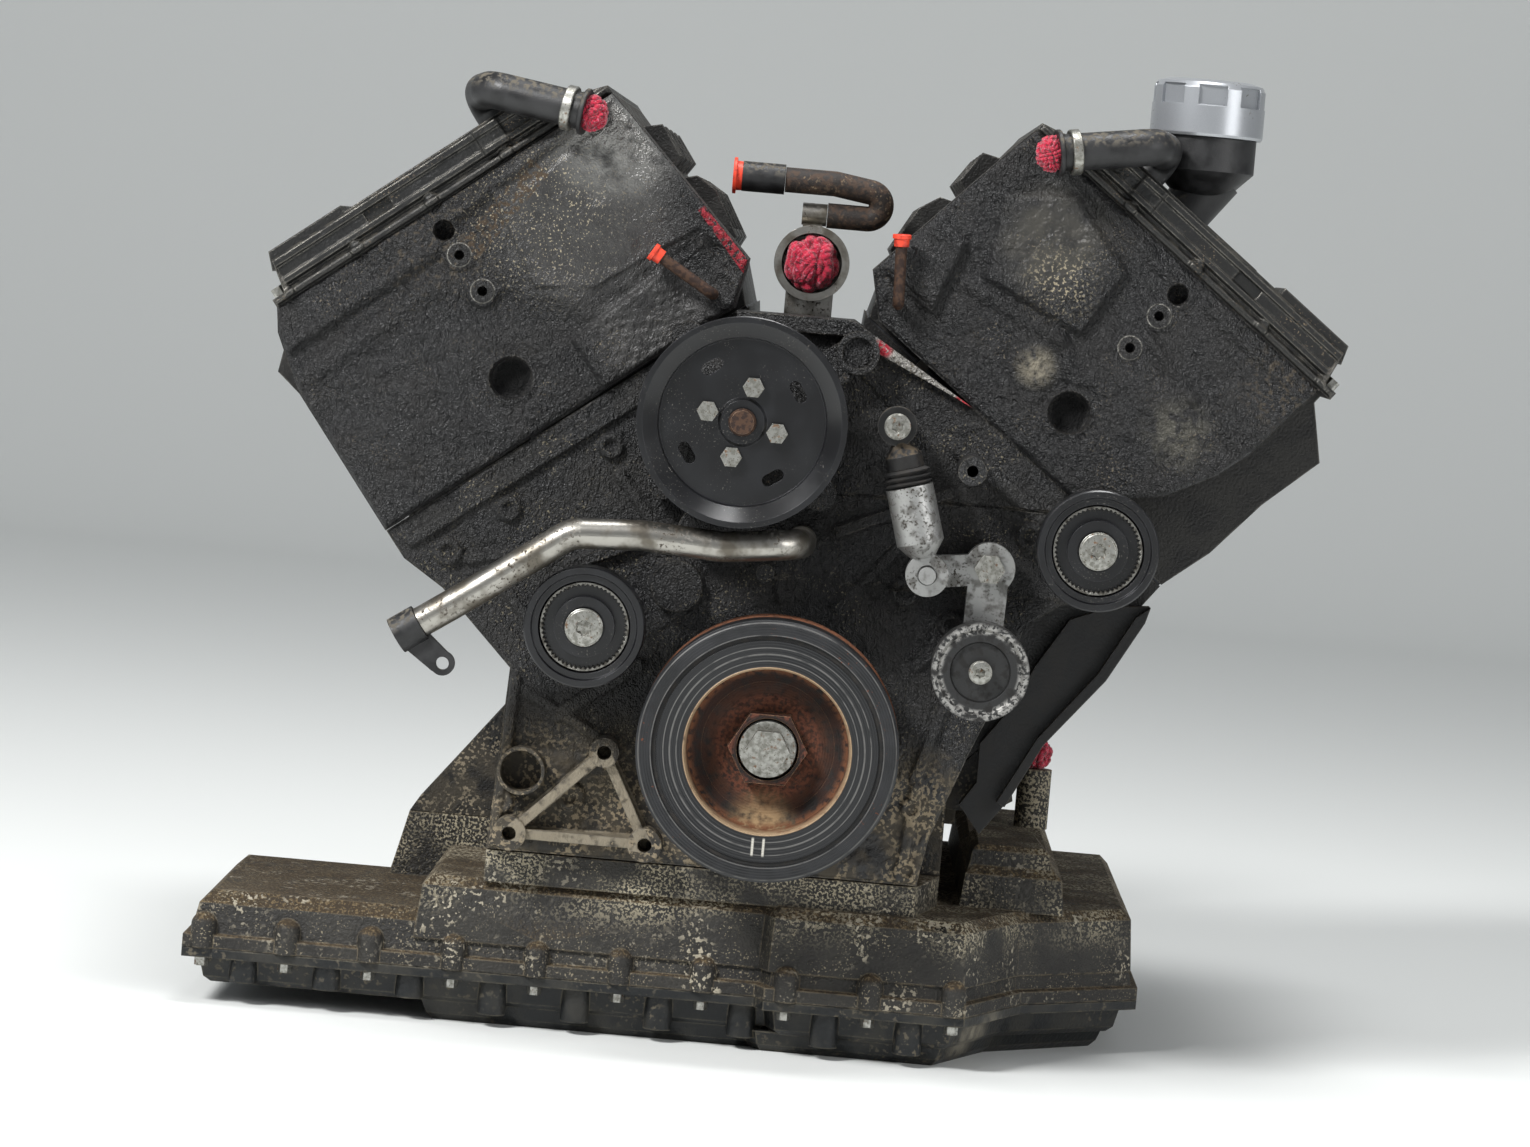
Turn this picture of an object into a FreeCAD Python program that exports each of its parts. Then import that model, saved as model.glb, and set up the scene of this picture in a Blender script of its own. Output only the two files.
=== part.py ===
import FreeCAD
import Part
import math
import os
import Sketcher
from types import SimpleNamespace

# A 75 degree V8 engine with four overhead camshafts, in millimetres.
# The origin is on the crankshaft axis at the rear flywheel flange. X is to the right seen from the
# front, Z is up, and the front of the engine faces -Y. A station is a distance from the flange
# towards the front. Each bank has its own frame: "up" runs along its cylinders and "out" across
# them, away from the valley.

SIZES = dict(
    bank_half_angle=37.5,
    bore_dia=86.0,
    half_stroke=43.0,
    bore_pitch=97.0,
    bank_offset=22.0,
    deck_clearance=1.0,
    crown_height=58.0,
    piston_length=72.0,
    piston_wall=6.5,
    pin_radius=13.0,
    piston_clearance=0.05,
    shaft_clearance=0.05,
    part_gap=0.3,
    block_rear=12.0,
    block_ends=30.0,
    end_wall=14.0,
    deck_up=264.0,
    deck_out=136.0,
    deck_in=150.0,
    gasket=1.5,
    skirt_out=130.0,
    skirt_bottom=-95.0,
    skirt_shoulder=-22.0,
    valley_half_width=32.0,
    chamber_radius=104.0,
    web_width=20.0,
    valley_depth=9.4,
    main_radius=32.0,
    rod_pin_radius=27.0,
    rod_pin_width=44.5,
    main_width=26.0,
    weight_radius=76.0,
    flange_radius=48.0,
    flange_hole_circle=76.0,
    flange_hole=5.0,
    flange_hole_depth=10.0,
    nose_radius=20.0,
    head_rear=20.0,
    head_height=175.5,
    head_out=150.0,
    head_in=160.0,
    cam_drop=41.0,
    cam_out=36.0,
    cam_radius=13.0,
    cam_well_drop=28.0,
    cam_well_out=112.0,
    lobe_base=15.0,
    lobe_lift=9.0,
    lobe_width=12.0,
    lobe_spread=18.0,
    crank_sprocket_radius=28.0,
    valley_sprocket_radius=30.0,
    valley_sprocket_rise=5.6,
    chain_thickness=8.0,
    chain_width=12.0,
    chain_stand=16.0,
    gear_stand=4.0,
    gear_width=8.0,
    case_depth=78.0,
    case_front_wall=12.0,
    case_wall=8.0,
    cover_above_cam=72.0,
    cover_wall=5.5,
    flare_foot=-94.0,
    pan_flange=-182.0,
    pan_wall=8.0,
    tray_wall=6.0,
    tray_depth=40.0,
    pump_x=-36.7,
    pump_rise=13.6,
    pump_pulley_radius=72.3,
    pump_bolt_circle=25.0,
    pump_slot_circle=43.5,
    damper_radius=90.5,
    damper_stand=62.0,
    damper_width=33.0,
    hub_hexagon=48.0,
    idler_radius=42.0,
    idler_left_x=-133.5,
    idler_left_z=72.2,
    idler_right_out=75.6,
    idler_right_drop=9.9,
    idler_stand=42.0,
    idler_width=28.0,
    roller_radius=34.0,
    roller_x=141.4,
    roller_z=65.3,
    pivot_x=142.6,
    pivot_z=134.6,
    strut_low_x=99.1,
    strut_low_z=128.2,
    strut_top_x=69.7,
    strut_top_z=228.9,
    pipe_radius=10.6,
    pipe_stand=70.0,
    outlet_rise=125.6,
    outlet_radius=25.0,
    cap_radius=40.0,
)

doc = FreeCAD.newDocument("engine")
sheet = doc.addObject("Spreadsheet::Sheet", "dims")


class Size:
    """A number together with the sheet expression that gives it."""

    def __init__(self, value, text):
        self.value = value
        self.text = text

    def join(self, sign, other, value):
        text = other.text if isinstance(other, Size) else repr(float(other))
        return Size(value, f"({self.text} {sign} {text})")

    def __float__(self):
        return float(self.value)

    def __add__(self, other):
        return self.join("+", other, self.value + float(other))

    def __sub__(self, other):
        return self.join("-", other, self.value - float(other))

    def __mul__(self, other):
        return self.join("*", other, self.value * float(other))

    def __truediv__(self, other):
        return self.join("/", other, self.value / float(other))

    def __neg__(self):
        return Size(-self.value, f"(-1 * {self.text})")

    __radd__ = __add__
    __rmul__ = __mul__

    def __rsub__(self, other):
        return -self + other


def fill_sheet():
    """Write every driving dimension to the sheet and hand back the same names as sizes."""
    sizes = {}
    for row, (name, value) in enumerate(SIZES.items(), start=1):
        sheet.set(f"A{row}", name)
        sheet.set(f"B{row}", str(value))
        sheet.setAlias(f"B{row}", name)
        sizes[name] = Size(value, f"dims.{name}")
    doc.recompute()
    return SimpleNamespace(**sizes)


d = fill_sheet()
nodes = {}
lean = Size(math.sin(math.radians(float(d.bank_half_angle))), "sin(dims.bank_half_angle * 1 deg)")
rise = Size(math.cos(math.radians(float(d.bank_half_angle))), "cos(dims.bank_half_angle * 1 deg)")
LEFT = -1
RIGHT = 1


def bank_point(side, out, up):
    """The front-view place (x, z) of a point given in a bank's frame."""
    return (lean * up + rise * out) * side, rise * up - lean * out


def follow(d):
    """Levels and stations that follow from the driving dimensions."""
    d.rod_length = d.deck_up - d.half_stroke - d.crown_height - d.deck_clearance
    d.head_top = d.deck_up + d.gasket + d.head_height
    d.cam_up = d.head_top - d.cam_drop
    d.cam_well_up = d.cam_up - d.cam_well_drop
    d.cover_top = d.cam_up + d.cover_above_cam
    d.block_length = d.bore_pitch * 4 + d.bank_offset + d.block_ends
    d.block_front = d.block_rear + d.block_length
    d.case_front = d.block_front + d.case_depth
    d.chain_station = d.block_front + d.chain_stand
    d.gear_station = d.block_front + d.gear_stand
    d.damper_back = d.case_front + d.damper_stand
    d.damper_front = d.damper_back + d.damper_width
    d.idler_back = d.case_front + d.idler_stand
    d.idler_front = d.idler_back + d.idler_width
    d.pipe_station = d.case_front + d.pipe_stand
    d.pan_bottom = d.pan_flange - d.tray_depth
    crotch = rise * d.deck_up
    d.valley_floor = crotch - d.valley_depth
    d.valley_sprocket_height = crotch + d.valley_sprocket_rise
    d.pump_z = crotch + d.pump_rise
    d.outlet_z = crotch + d.outlet_rise
    d.idler_right_x, d.idler_right_z = bank_point(RIGHT, d.idler_right_out, d.deck_up - d.idler_right_drop)


follow(d)


def bank_turn(side):
    """The turn about Y that lays a shape drawn upright along a bank."""
    return FreeCAD.Rotation(FreeCAD.Vector(0, 1, 0), side * float(d.bank_half_angle))


def vector(x, station, z):
    return FreeCAD.Vector(float(x), -float(station), float(z))


def bind(thing, path, size):
    if isinstance(size, Size):
        thing.setExpression(path, size.text)


def place(thing, x=0.0, station=0.0, z=0.0, turn=None):
    """Put an object at a front-view place and bind that place to the sheet."""
    thing.Placement = FreeCAD.Placement(vector(x, station, z), turn or FreeCAD.Rotation())
    bind(thing, "Placement.Base.x", x)
    if isinstance(station, Size):
        bind(thing, "Placement.Base.y", -station)
    bind(thing, "Placement.Base.z", z)


def inset(points, by):
    """The outline drawn in by a distance: each corner is where its two moved sides meet."""
    area = sum(a[0] * b[1] - b[0] * a[1] for a, b in zip(points, points[1:] + points[:1]))
    inward = 1 if area > 0 else -1
    moved = []
    count = len(points)
    for i in range(count):
        before, corner, after = points[i - 1], points[i], points[(i + 1) % count]
        sides = []
        for start, end in ((before, corner), (corner, after)):
            length = math.hypot(end[0] - start[0], end[1] - start[1])
            normal = (-(end[1] - start[1]) / length * inward, (end[0] - start[0]) / length * inward)
            sides.append((normal, normal[0] * corner[0] + normal[1] * corner[1] + by))
        (n1, c1), (n2, c2) = sides
        turn = n1[0] * n2[1] - n1[1] * n2[0]
        moved.append(((c1 * n2[1] - c2 * n1[1]) / turn, (n1[0] * c2 - n2[0] * c1) / turn))
    return moved


def origin_plane(body, role):
    return [f for f in body.Origin.OriginFeatures if f.Role == role][0]


def outline(body, role, points, offset, name):
    """A closed outline on one of the body's own planes, each corner bound to the sheet."""
    sketch = body.newObject("Sketcher::SketchObject", name)
    sketch.AttachmentSupport = [(origin_plane(body, role), "")]
    sketch.MapMode = "FlatFace"
    sketch.AttachmentOffset = FreeCAD.Placement(FreeCAD.Vector(0, 0, float(offset)), FreeCAD.Rotation())
    bind(sketch, "AttachmentOffset.Base.z", offset)
    corners = [FreeCAD.Vector(float(x), float(y), 0) for x, y in points]
    count = len(corners)
    lines = [Part.LineSegment(corners[i], corners[(i + 1) % count]) for i in range(count)]
    sketch.addGeometry(lines, False)
    rules = [Sketcher.Constraint("Coincident", i, 2, (i + 1) % count, 1) for i in range(count)]
    bound = []
    for i, (x, y) in enumerate(points):
        for kind, value, axis in (("DistanceX", x, -2), ("DistanceY", y, -1)):
            if abs(float(value)) < 1e-9:
                rules.append(Sketcher.Constraint("PointOnObject", i, 1, axis))
            else:
                bound.append((len(rules), value))
                rules.append(Sketcher.Constraint(kind, -1, 1, i, 1, float(value)))
    sketch.addConstraint(rules)
    for index, value in bound:
        bind(sketch, f"Constraints[{index}]", value)
    return sketch


def pad(body, points, start, length, role="XZ_Plane", name="Outline"):
    """Extrude an outline; on the front-view plane it runs from its start station to the front."""
    sketch = outline(body, role, points, start, name)
    feature = body.newObject("PartDesign::Pad", name + "Pad")
    feature.Profile = sketch
    feature.Length = float(length)
    bind(feature, "Length", length)
    doc.recompute()
    return feature


def new_body(label):
    body = doc.addObject("PartDesign::Body", label)
    body.Label = label
    return body


def lathe(label, profile, x=0.0, z=0.0):
    """A turned piece about an axis along Y; the profile holds (station, radius) corners."""
    body = new_body(label)
    points = [(-station if isinstance(station, Size) else -float(station), r) for station, r in profile]
    sketch = outline(body, "YZ_Plane", points, 0.0, "Profile")
    turned = body.newObject("PartDesign::Revolution", "Turned")
    turned.Profile = sketch
    turned.ReferenceAxis = (sketch, ["H_Axis"])
    turned.Angle = 360
    place(body, x, 0.0, z)
    doc.recompute()
    return body


def rod_part(x, station, z, radius, length):
    """A round bar along Y as a bound primitive."""
    bar = doc.addObject("Part::Cylinder", "Bar")
    bar.Radius = float(radius)
    bar.Height = float(length)
    bind(bar, "Radius", radius)
    bind(bar, "Height", length)
    place(bar, x, station, z, FreeCAD.Rotation(FreeCAD.Vector(1, 0, 0), 90))
    return bar


def hexagon(x, station, z, across, length):
    """A hexagon bar along Y, given across its flats."""
    bar = doc.addObject("Part::Prism", "Hexagon")
    bar.Polygon = 6
    bar.Circumradius = float(across) / math.sqrt(3)
    bar.Height = float(length)
    if isinstance(across, Size):
        bind(bar, "Circumradius", across / math.sqrt(3))
    place(bar, x, station, z, FreeCAD.Rotation(FreeCAD.Vector(1, 0, 0), 90))
    return bar


def box(x, station, z, wide, deep, high):
    """A box centred across at x, starting at a station and standing on z."""
    block = doc.addObject("Part::Box", "Box")
    block.Length = float(wide)
    block.Width = float(deep)
    block.Height = float(high)
    bind(block, "Length", wide)
    bind(block, "Width", deep)
    bind(block, "Height", high)
    place(block, x - wide / 2 if isinstance(wide, Size) else x - float(wide) / 2, station + deep, z)
    return block


def fuse(parts, name="Joined"):
    if len(parts) == 1:
        return parts[0]
    whole = doc.addObject("Part::MultiFuse", name)
    whole.Shapes = parts
    return whole


def cut(base, tools, name="Shaped"):
    shaped = doc.addObject("Part::Cut", name)
    shaped.Base = base
    shaped.Tool = fuse(tools, "Tools")
    return shaped


def group(parts, name="Group"):
    """Separate solids that share one node."""
    whole = doc.addObject("Part::Compound", name)
    whole.Links = parts
    return whole


def feature(name, shape):
    """An object whose shape is worked out here from the sizes in the sheet."""
    thing = doc.addObject("Part::Feature", name)
    thing.Shape = shape
    return thing


def keep(label, thing):
    """Name a finished sub-part and list it for export."""
    thing.Label = label
    nodes[label] = thing
    return thing


def bar_shape(x, station, z, radius, length):
    return Part.makeCylinder(float(radius), float(length), vector(x, station, z), FreeCAD.Vector(0, -1, 0))


def prism_shape(points, start, length):
    """A front-view outline, extruded from its start station to the front."""
    corners = [vector(x, start, z) for x, z in points]
    face = Part.Face(Part.makePolygon(corners + corners[:1]))
    return face.extrude(FreeCAD.Vector(0, -float(length), 0))


def bank_prism(side, points, start, length):
    """The same in a bank's frame, with corners as (out, up)."""
    return prism_shape([bank_point(side, out, up) for out, up in points], start, length)


def bank_bar(side, out, up, station, radius, length):
    x, z = bank_point(side, out, up)
    return bar_shape(x, station, z, radius, length)


def tube_path(points, radius, bend):
    """A round bar along straight runs joined by arcs of one bend radius."""
    spots = [vector(*p) for p in points]
    edges = []
    start = spots[0]
    for before, corner, after in zip(spots, spots[1:], spots[2:]):
        to_before = (before - corner).normalize()
        to_after = (after - corner).normalize()
        half = to_before.getAngle(to_after) / 2
        reach = bend / math.tan(half)
        first = corner + to_before * reach
        last = corner + to_after * reach
        middle = (to_before + to_after).normalize()
        top = corner + middle * (bend / math.sin(half) - bend)
        edges.append(Part.LineSegment(start, first).toShape())
        edges.append(Part.Arc(first, top, last).toShape())
        start = last
    edges.append(Part.LineSegment(start, spots[-1]).toShape())
    wire = Part.Wire(edges)
    circle = Part.makeCircle(float(radius), spots[0], spots[1] - spots[0])
    return wire.makePipeShell([Part.Wire([circle])], True, False)


def cone_between(low, high, low_radius, high_radius):
    """A straight bar or cone from one point to another."""
    way = high - low
    if abs(low_radius - high_radius) < 1e-6:
        return Part.makeCylinder(low_radius, way.Length, low, way)
    return Part.makeCone(low_radius, high_radius, way.Length, low, way)


# Stations of the cylinders and bearings

first_pair = d.block_rear + d.block_ends / 2 + d.bore_pitch / 2 + d.bank_offset / 2
pair_stations = [first_pair + d.bore_pitch * i for i in range(4)]
main_stations = [pair_stations[0] + d.bore_pitch * (i - 0.5) for i in range(5)]


def cylinder_station(side, index):
    """The left bank stands half the bank offset ahead of the pair, the right bank behind it."""
    return pair_stations[index] - d.bank_offset / 2 * side


def crank_angle(index):
    """The direction of a crank pin at rest, turned from straight up towards the right bank."""
    return math.radians((15, 105, 285, 195)[index])


def pin_height(side, index):
    """How far up the bank the piston pin stands at rest, from the true crank geometry."""
    turned = crank_angle(index) - math.radians(side * float(d.bank_half_angle))
    across = float(d.half_stroke) * math.sin(turned)
    along = float(d.half_stroke) * math.cos(turned)
    return along + math.sqrt(float(d.rod_length) ** 2 - across**2)


# Cylinder block and what is bolted to it


def cylinder_block():
    """V block with deep skirts: bores, crank chambers between bearing webs, and side ribs."""
    right = [
        (d.skirt_out, d.skirt_bottom),
        (d.skirt_out, d.skirt_shoulder),
        (d.skirt_out + 36, d.skirt_shoulder + 40),
        bank_point(RIGHT, d.deck_out - 17, 146),
        bank_point(RIGHT, d.deck_out, d.deck_up - 40),
        bank_point(RIGHT, d.deck_out, d.deck_up),
        bank_point(RIGHT, -d.deck_in, d.deck_up),
        (d.valley_half_width, d.valley_floor),
    ]
    left = [(-x, z) for x, z in reversed(right)]
    body = new_body("block_casting")
    pad(body, right + left, d.block_rear, d.block_front - d.block_rear)
    tools = []
    for rear, front in zip(main_stations, main_stations[1:]):
        tools.append(rod_part(0, rear + d.web_width / 2, 0, d.chamber_radius, front - rear - d.web_width))
    slot_depth = d.block_front - d.block_rear - d.end_wall * 2
    tools.append(box(0, d.block_rear + d.end_wall, d.skirt_bottom - 1, d.chamber_radius * 2, slot_depth,
                     1 - d.skirt_bottom))
    tools.append(rod_part(0, d.block_rear - 1, 0, d.main_radius + d.shaft_clearance,
                          d.block_front - d.block_rear + 2))
    for side in (LEFT, RIGHT):
        for index in range(4):
            bore = doc.addObject("Part::Cylinder", "Bore")
            bore.Radius = float(d.bore_dia) / 2
            bore.Height = float(d.deck_up)
            bind(bore, "Radius", d.bore_dia / 2)
            x, z = bank_point(side, 0, 60)
            place(bore, x, cylinder_station(side, index), z, bank_turn(side))
            tools.append(bore)
    casting = cut(body, tools, "Block")
    ribs = []
    mount_station = d.block_rear + d.block_length / 2 + 23
    for side in (LEFT, RIGHT):
        for share in (0.13, 0.4, 0.68, 0.95):
            station = d.block_rear + d.block_length * share
            foot = -94 if side == LEFT else -48
            ribs.append(feature("Rib", prism_shape(
                [(d.skirt_out * side - side, foot), (side * 162, foot), (side * 178, -38), (side * 168, 16),
                 (d.skirt_out * side - side, -26)], station, 9)))
        mount = [(d.skirt_out * side - side, -74), (side * 142, -74), (side * 142, -14),
                 (d.skirt_out * side - side, -14)]
        ribs.append(feature("MountPad", prism_shape(mount, mount_station - 41, 82)))
    foot = d.flare_foot
    flare = [(-129, foot), (-262, foot), (-256, -84), (-224, -43), (-197, -8), (-165, 17), (-129, -26)]
    ribs.append(feature("Flare", prism_shape(flare, d.block_front - 134, 26)))
    bell = bar_shape(0, d.block_rear - 2, 10, 196, 18)
    opening = bar_shape(0, d.block_rear - 3, 0, 96.5, 20)
    below = Part.makeBox(500, 40, 200, FreeCAD.Vector(-250, -40, -295))
    ribs.append(feature("BellFlange", bell.cut(opening).cut(below)))
    whole = fuse([casting] + ribs, "BlockWithRibs")
    holes = []
    for side in (LEFT, RIGHT):
        for station in (mount_station - 30, mount_station + 30):
            for height in (-62, -28):
                mouth = vector(side * 142, station, height)
                hole = Part.makeCylinder(5, 24, mouth, FreeCAD.Vector(-side, 0, 0))
                holes.append(feature("MountHole", hole))
    keep("cylinder_block", cut(whole, holes, "CylinderBlock"))


def main_bearing_caps():
    """Five caps that hold the crankshaft up against the block."""
    caps = []
    for station in main_stations:
        cap = box(0, station - d.web_width / 2, -62, 136, d.web_width, 62)
        hole = rod_part(0, station - d.web_width, 0, d.main_radius + d.shaft_clearance, d.web_width * 2)
        caps.append(cut(cap, [hole], "Cap"))
    return caps


# Crankshaft, pistons and rods


def crank_web(start, angle, thickness):
    """One crank web: a round end over the pin and a heavy sector opposite it."""
    pin_end = 36.0
    heavy = float(d.weight_radius)
    throw = float(d.half_stroke)
    spread = math.radians(58)
    corner = (heavy * math.sin(spread), -heavy * math.cos(spread))
    side_point = FreeCAD.Vector(pin_end, 0, throw)
    other_side = FreeCAD.Vector(-pin_end, 0, throw)
    near = FreeCAD.Vector(corner[0], 0, corner[1])
    far = FreeCAD.Vector(-corner[0], 0, corner[1])
    edges = [
        Part.Arc(side_point, FreeCAD.Vector(0, 0, throw + pin_end), other_side).toShape(),
        Part.LineSegment(other_side, far).toShape(),
        Part.Arc(far, FreeCAD.Vector(0, 0, -heavy), near).toShape(),
        Part.LineSegment(near, side_point).toShape(),
    ]
    web = Part.Face(Part.Wire(edges)).extrude(FreeCAD.Vector(0, -float(thickness), 0))
    web.rotate(FreeCAD.Vector(), FreeCAD.Vector(0, 1, 0), math.degrees(angle))
    web.translate(vector(0, start, 0))
    return web


def crankshaft():
    """Five main journals, four pins and eight webs, with the flywheel flange behind."""
    flange = bar_shape(0, 0, 0, d.flange_radius, d.block_rear - d.part_gap)
    pieces = [flange]
    web_thickness = (float(d.bore_pitch) - float(d.main_width) - float(d.rod_pin_width)) / 2
    journal_start = d.block_rear - d.part_gap - 1
    for index, station in enumerate(main_stations):
        start = journal_start if index == 0 else station - d.main_width / 2
        end = d.block_front + 2 if index == 4 else station + d.main_width / 2
        pieces.append(bar_shape(0, start, 0, d.main_radius, end - start))
    for index, station in enumerate(pair_stations):
        angle = crank_angle(index)
        x = float(d.half_stroke) * math.sin(angle)
        z = float(d.half_stroke) * math.cos(angle)
        start = station - d.rod_pin_width / 2
        pieces.append(bar_shape(x, start, z, d.rod_pin_radius, d.rod_pin_width))
        pieces.append(crank_web(start - web_thickness, angle, web_thickness))
        pieces.append(crank_web(station + d.rod_pin_width / 2, angle, web_thickness))
    pieces.append(bar_shape(0, d.block_front, 0, d.nose_radius, d.damper_back + 10 - d.block_front))
    shaft = pieces[0].fuse(pieces[1:])
    holes = [bar_shape(0, -1, 0, 17.5, 13)]
    for index in range(8):
        turn = math.radians(45 * index)
        reach = float(d.flange_hole_circle) / 2
        holes.append(bar_shape(reach * math.sin(turn), -1, reach * math.cos(turn), d.flange_hole,
                               d.flange_hole_depth + 1))
    keep("crankshaft", feature("Crankshaft", shaft.cut(holes)))


def piston(side, index, label):
    """Piston with ring grooves, open skirt and its pin, standing at its true height."""
    top = pin_height(side, index) + float(d.crown_height)
    radius = float(d.bore_dia) / 2 - float(d.piston_clearance)
    inside = radius - float(d.piston_wall)
    low = top - float(d.piston_length)
    groove = 3.0
    steps = [(low, radius), (top - 16, radius), (top - 16, radius - groove), (top - 13, radius - groove),
             (top - 13, radius), (top - 9, radius), (top - 9, radius - groove), (top - 6, radius - groove),
             (top - 6, radius), (top, radius), (top, 0), (top - 22, 0), (top - 22, inside), (low, inside)]
    corners = [FreeCAD.Vector(r, 0, up) for up, r in steps]
    shape = Part.Face(Part.makePolygon(corners + corners[:1])).revolve(
        FreeCAD.Vector(), FreeCAD.Vector(0, 0, 1), 360)
    pin_up = pin_height(side, index)
    pin = Part.makeCylinder(float(d.pin_radius), inside * 2 + 2, FreeCAD.Vector(0, inside + 1, pin_up),
                            FreeCAD.Vector(0, -1, 0))
    shape = shape.fuse(pin)
    thing = feature(label, shape)
    place(thing, 0.0, cylinder_station(side, index), 0.0, bank_turn(side))
    keep(label, thing)


def con_rod(side, index):
    """One connecting rod between its crank pin and its piston pin."""
    angle = crank_angle(index)
    pin = FreeCAD.Vector(float(d.half_stroke) * math.sin(angle), 0, float(d.half_stroke) * math.cos(angle))
    x, z = bank_point(side, 0, pin_height(side, index))
    way = FreeCAD.Vector(float(x), 0, float(z)) - pin
    length = way.Length
    big = 38.0
    small = 21.0
    outline_points = [(-22, 26), (22, 26), (11, length - 16), (-11, length - 16)]
    corners = [FreeCAD.Vector(px, 0, pz) for px, pz in outline_points]
    thickness = float(d.bank_offset) - 0.6
    reach = FreeCAD.Vector(0, -thickness, 0)
    shank = Part.Face(Part.makePolygon(corners + corners[:1])).extrude(reach)
    shape = shank.fuse([
        Part.makeCylinder(big, thickness, FreeCAD.Vector(), reach),
        Part.makeCylinder(small, thickness, FreeCAD.Vector(0, 0, length), reach)])
    eye = float(d.shaft_clearance)
    shape = shape.cut([
        Part.makeCylinder(float(d.rod_pin_radius) + eye, thickness, FreeCAD.Vector(), reach),
        Part.makeCylinder(float(d.pin_radius) + eye, thickness, FreeCAD.Vector(0, 0, length), reach)])
    tilt = math.degrees(math.atan2(way.x, way.z))
    shape.rotate(FreeCAD.Vector(), FreeCAD.Vector(0, 1, 0), tilt)
    station = float(cylinder_station(side, index)) - thickness / 2
    shape.translate(pin + FreeCAD.Vector(0, -station, 0))
    return feature("Rod", shape)


def crank_drive():
    crankshaft()
    rods = []
    number = 1
    for side in (LEFT, RIGHT):
        for index in range(4):
            piston(side, index, f"piston_{number}")
            rods.append(con_rod(side, index))
            number += 1
    keep("con_rods", group(rods))


# Heads, camshafts and covers


def head(side, label):
    """Cylinder head: cam well open upwards, bearing webs, ports on both sides."""
    base = d.deck_up + d.gasket
    outline_points = [
        (d.head_out - 14, base), (d.head_out - 4, base + 40), (d.head_out, d.head_top - 85),
        (d.head_out + 10, d.head_top - 35), (d.head_out - 22, d.head_top - 6), (d.head_out - 22, d.head_top),
        (-d.head_in + 9, d.head_top), (-d.head_in, base + 30), (-d.head_in + 12, base),
    ]
    shape = bank_prism(side, outline_points, d.head_rear, d.block_front - d.head_rear)
    inner = -d.head_in
    flanges = []
    for index in range(4):
        station = cylinder_station(side, index)
        port = [(inner + 4, base + 40), (inner - 9, base + 46), (inner - 14, base + 82),
                (inner - 8, base + 98), (inner + 6, base + 104)]
        flanges.append(bank_prism(side, port, station - 32, 64))
        lug = [(inner + 6, base + 112), (inner - 6, base + 116), (inner - 7, base + 142),
               (inner + 6, base + 148)]
        for offset in (-38, 38):
            flanges.append(bank_prism(side, lug, station + offset - 7, 14))
    shape = shape.fuse(flanges)
    well = d.cam_well_out
    tools = [bank_prism(side, [(-well, d.cam_up), (well, d.cam_up), (well, d.head_top + 1),
                               (-well, d.head_top + 1)], d.head_rear + 10, d.block_front)]
    stations = [cylinder_station(side, 0) + d.bore_pitch * (i - 0.5) for i in range(5)]
    for rear, front in zip(stations, stations[1:]):
        tools.append(bank_prism(side, [(-well, d.cam_well_up), (well, d.cam_well_up), (well, d.cam_up + 1),
                                       (-well, d.cam_up + 1)], rear + 8, front - rear - 16))
    for out in (-d.cam_out, d.cam_out):
        tools.append(bank_bar(side, out, d.cam_up, d.head_rear + 6, d.cam_radius + d.shaft_clearance,
                              d.block_front))
    for index in range(4):
        station = cylinder_station(side, index)
        intake = [(inner - 20, base + 52), (inner + 26, base + 50), (inner + 26, base + 84),
                  (inner - 20, base + 88)]
        tools.append(bank_prism(side, intake, station - 24, 48))
        exhaust = [(d.head_out + 14, base + 74), (d.head_out - 22, base + 78), (d.head_out - 22, base + 108),
                   (d.head_out + 14, base + 106)]
        tools.append(bank_prism(side, exhaust, station - 18, 36))
    keep(label, feature(label, shape.cut(tools)))


def head_gaskets():
    """Thin sheets between deck and head, open over every bore."""
    sheets = []
    for side in (LEFT, RIGHT):
        top = d.deck_up + d.gasket
        points = [(d.head_out - 15, d.deck_up), (d.head_out - 15, top), (-d.deck_in + 2, top),
                  (-d.deck_in + 2, d.deck_up)]
        sheet_shape = bank_prism(side, points, d.head_rear + 2, d.block_front - d.head_rear - 4)
        bores = []
        for index in range(4):
            x, z = bank_point(side, 0, d.deck_up - 5)
            axis = bank_turn(side).multVec(FreeCAD.Vector(0, 0, 1))
            bores.append(Part.makeCylinder(float(d.bore_dia) / 2 + 1, 12,
                                           vector(x, cylinder_station(side, index), z), axis))
        sheets.append(feature("Gasket", sheet_shape.cut(bores)))
    keep("head_gaskets", group(sheets))


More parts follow.
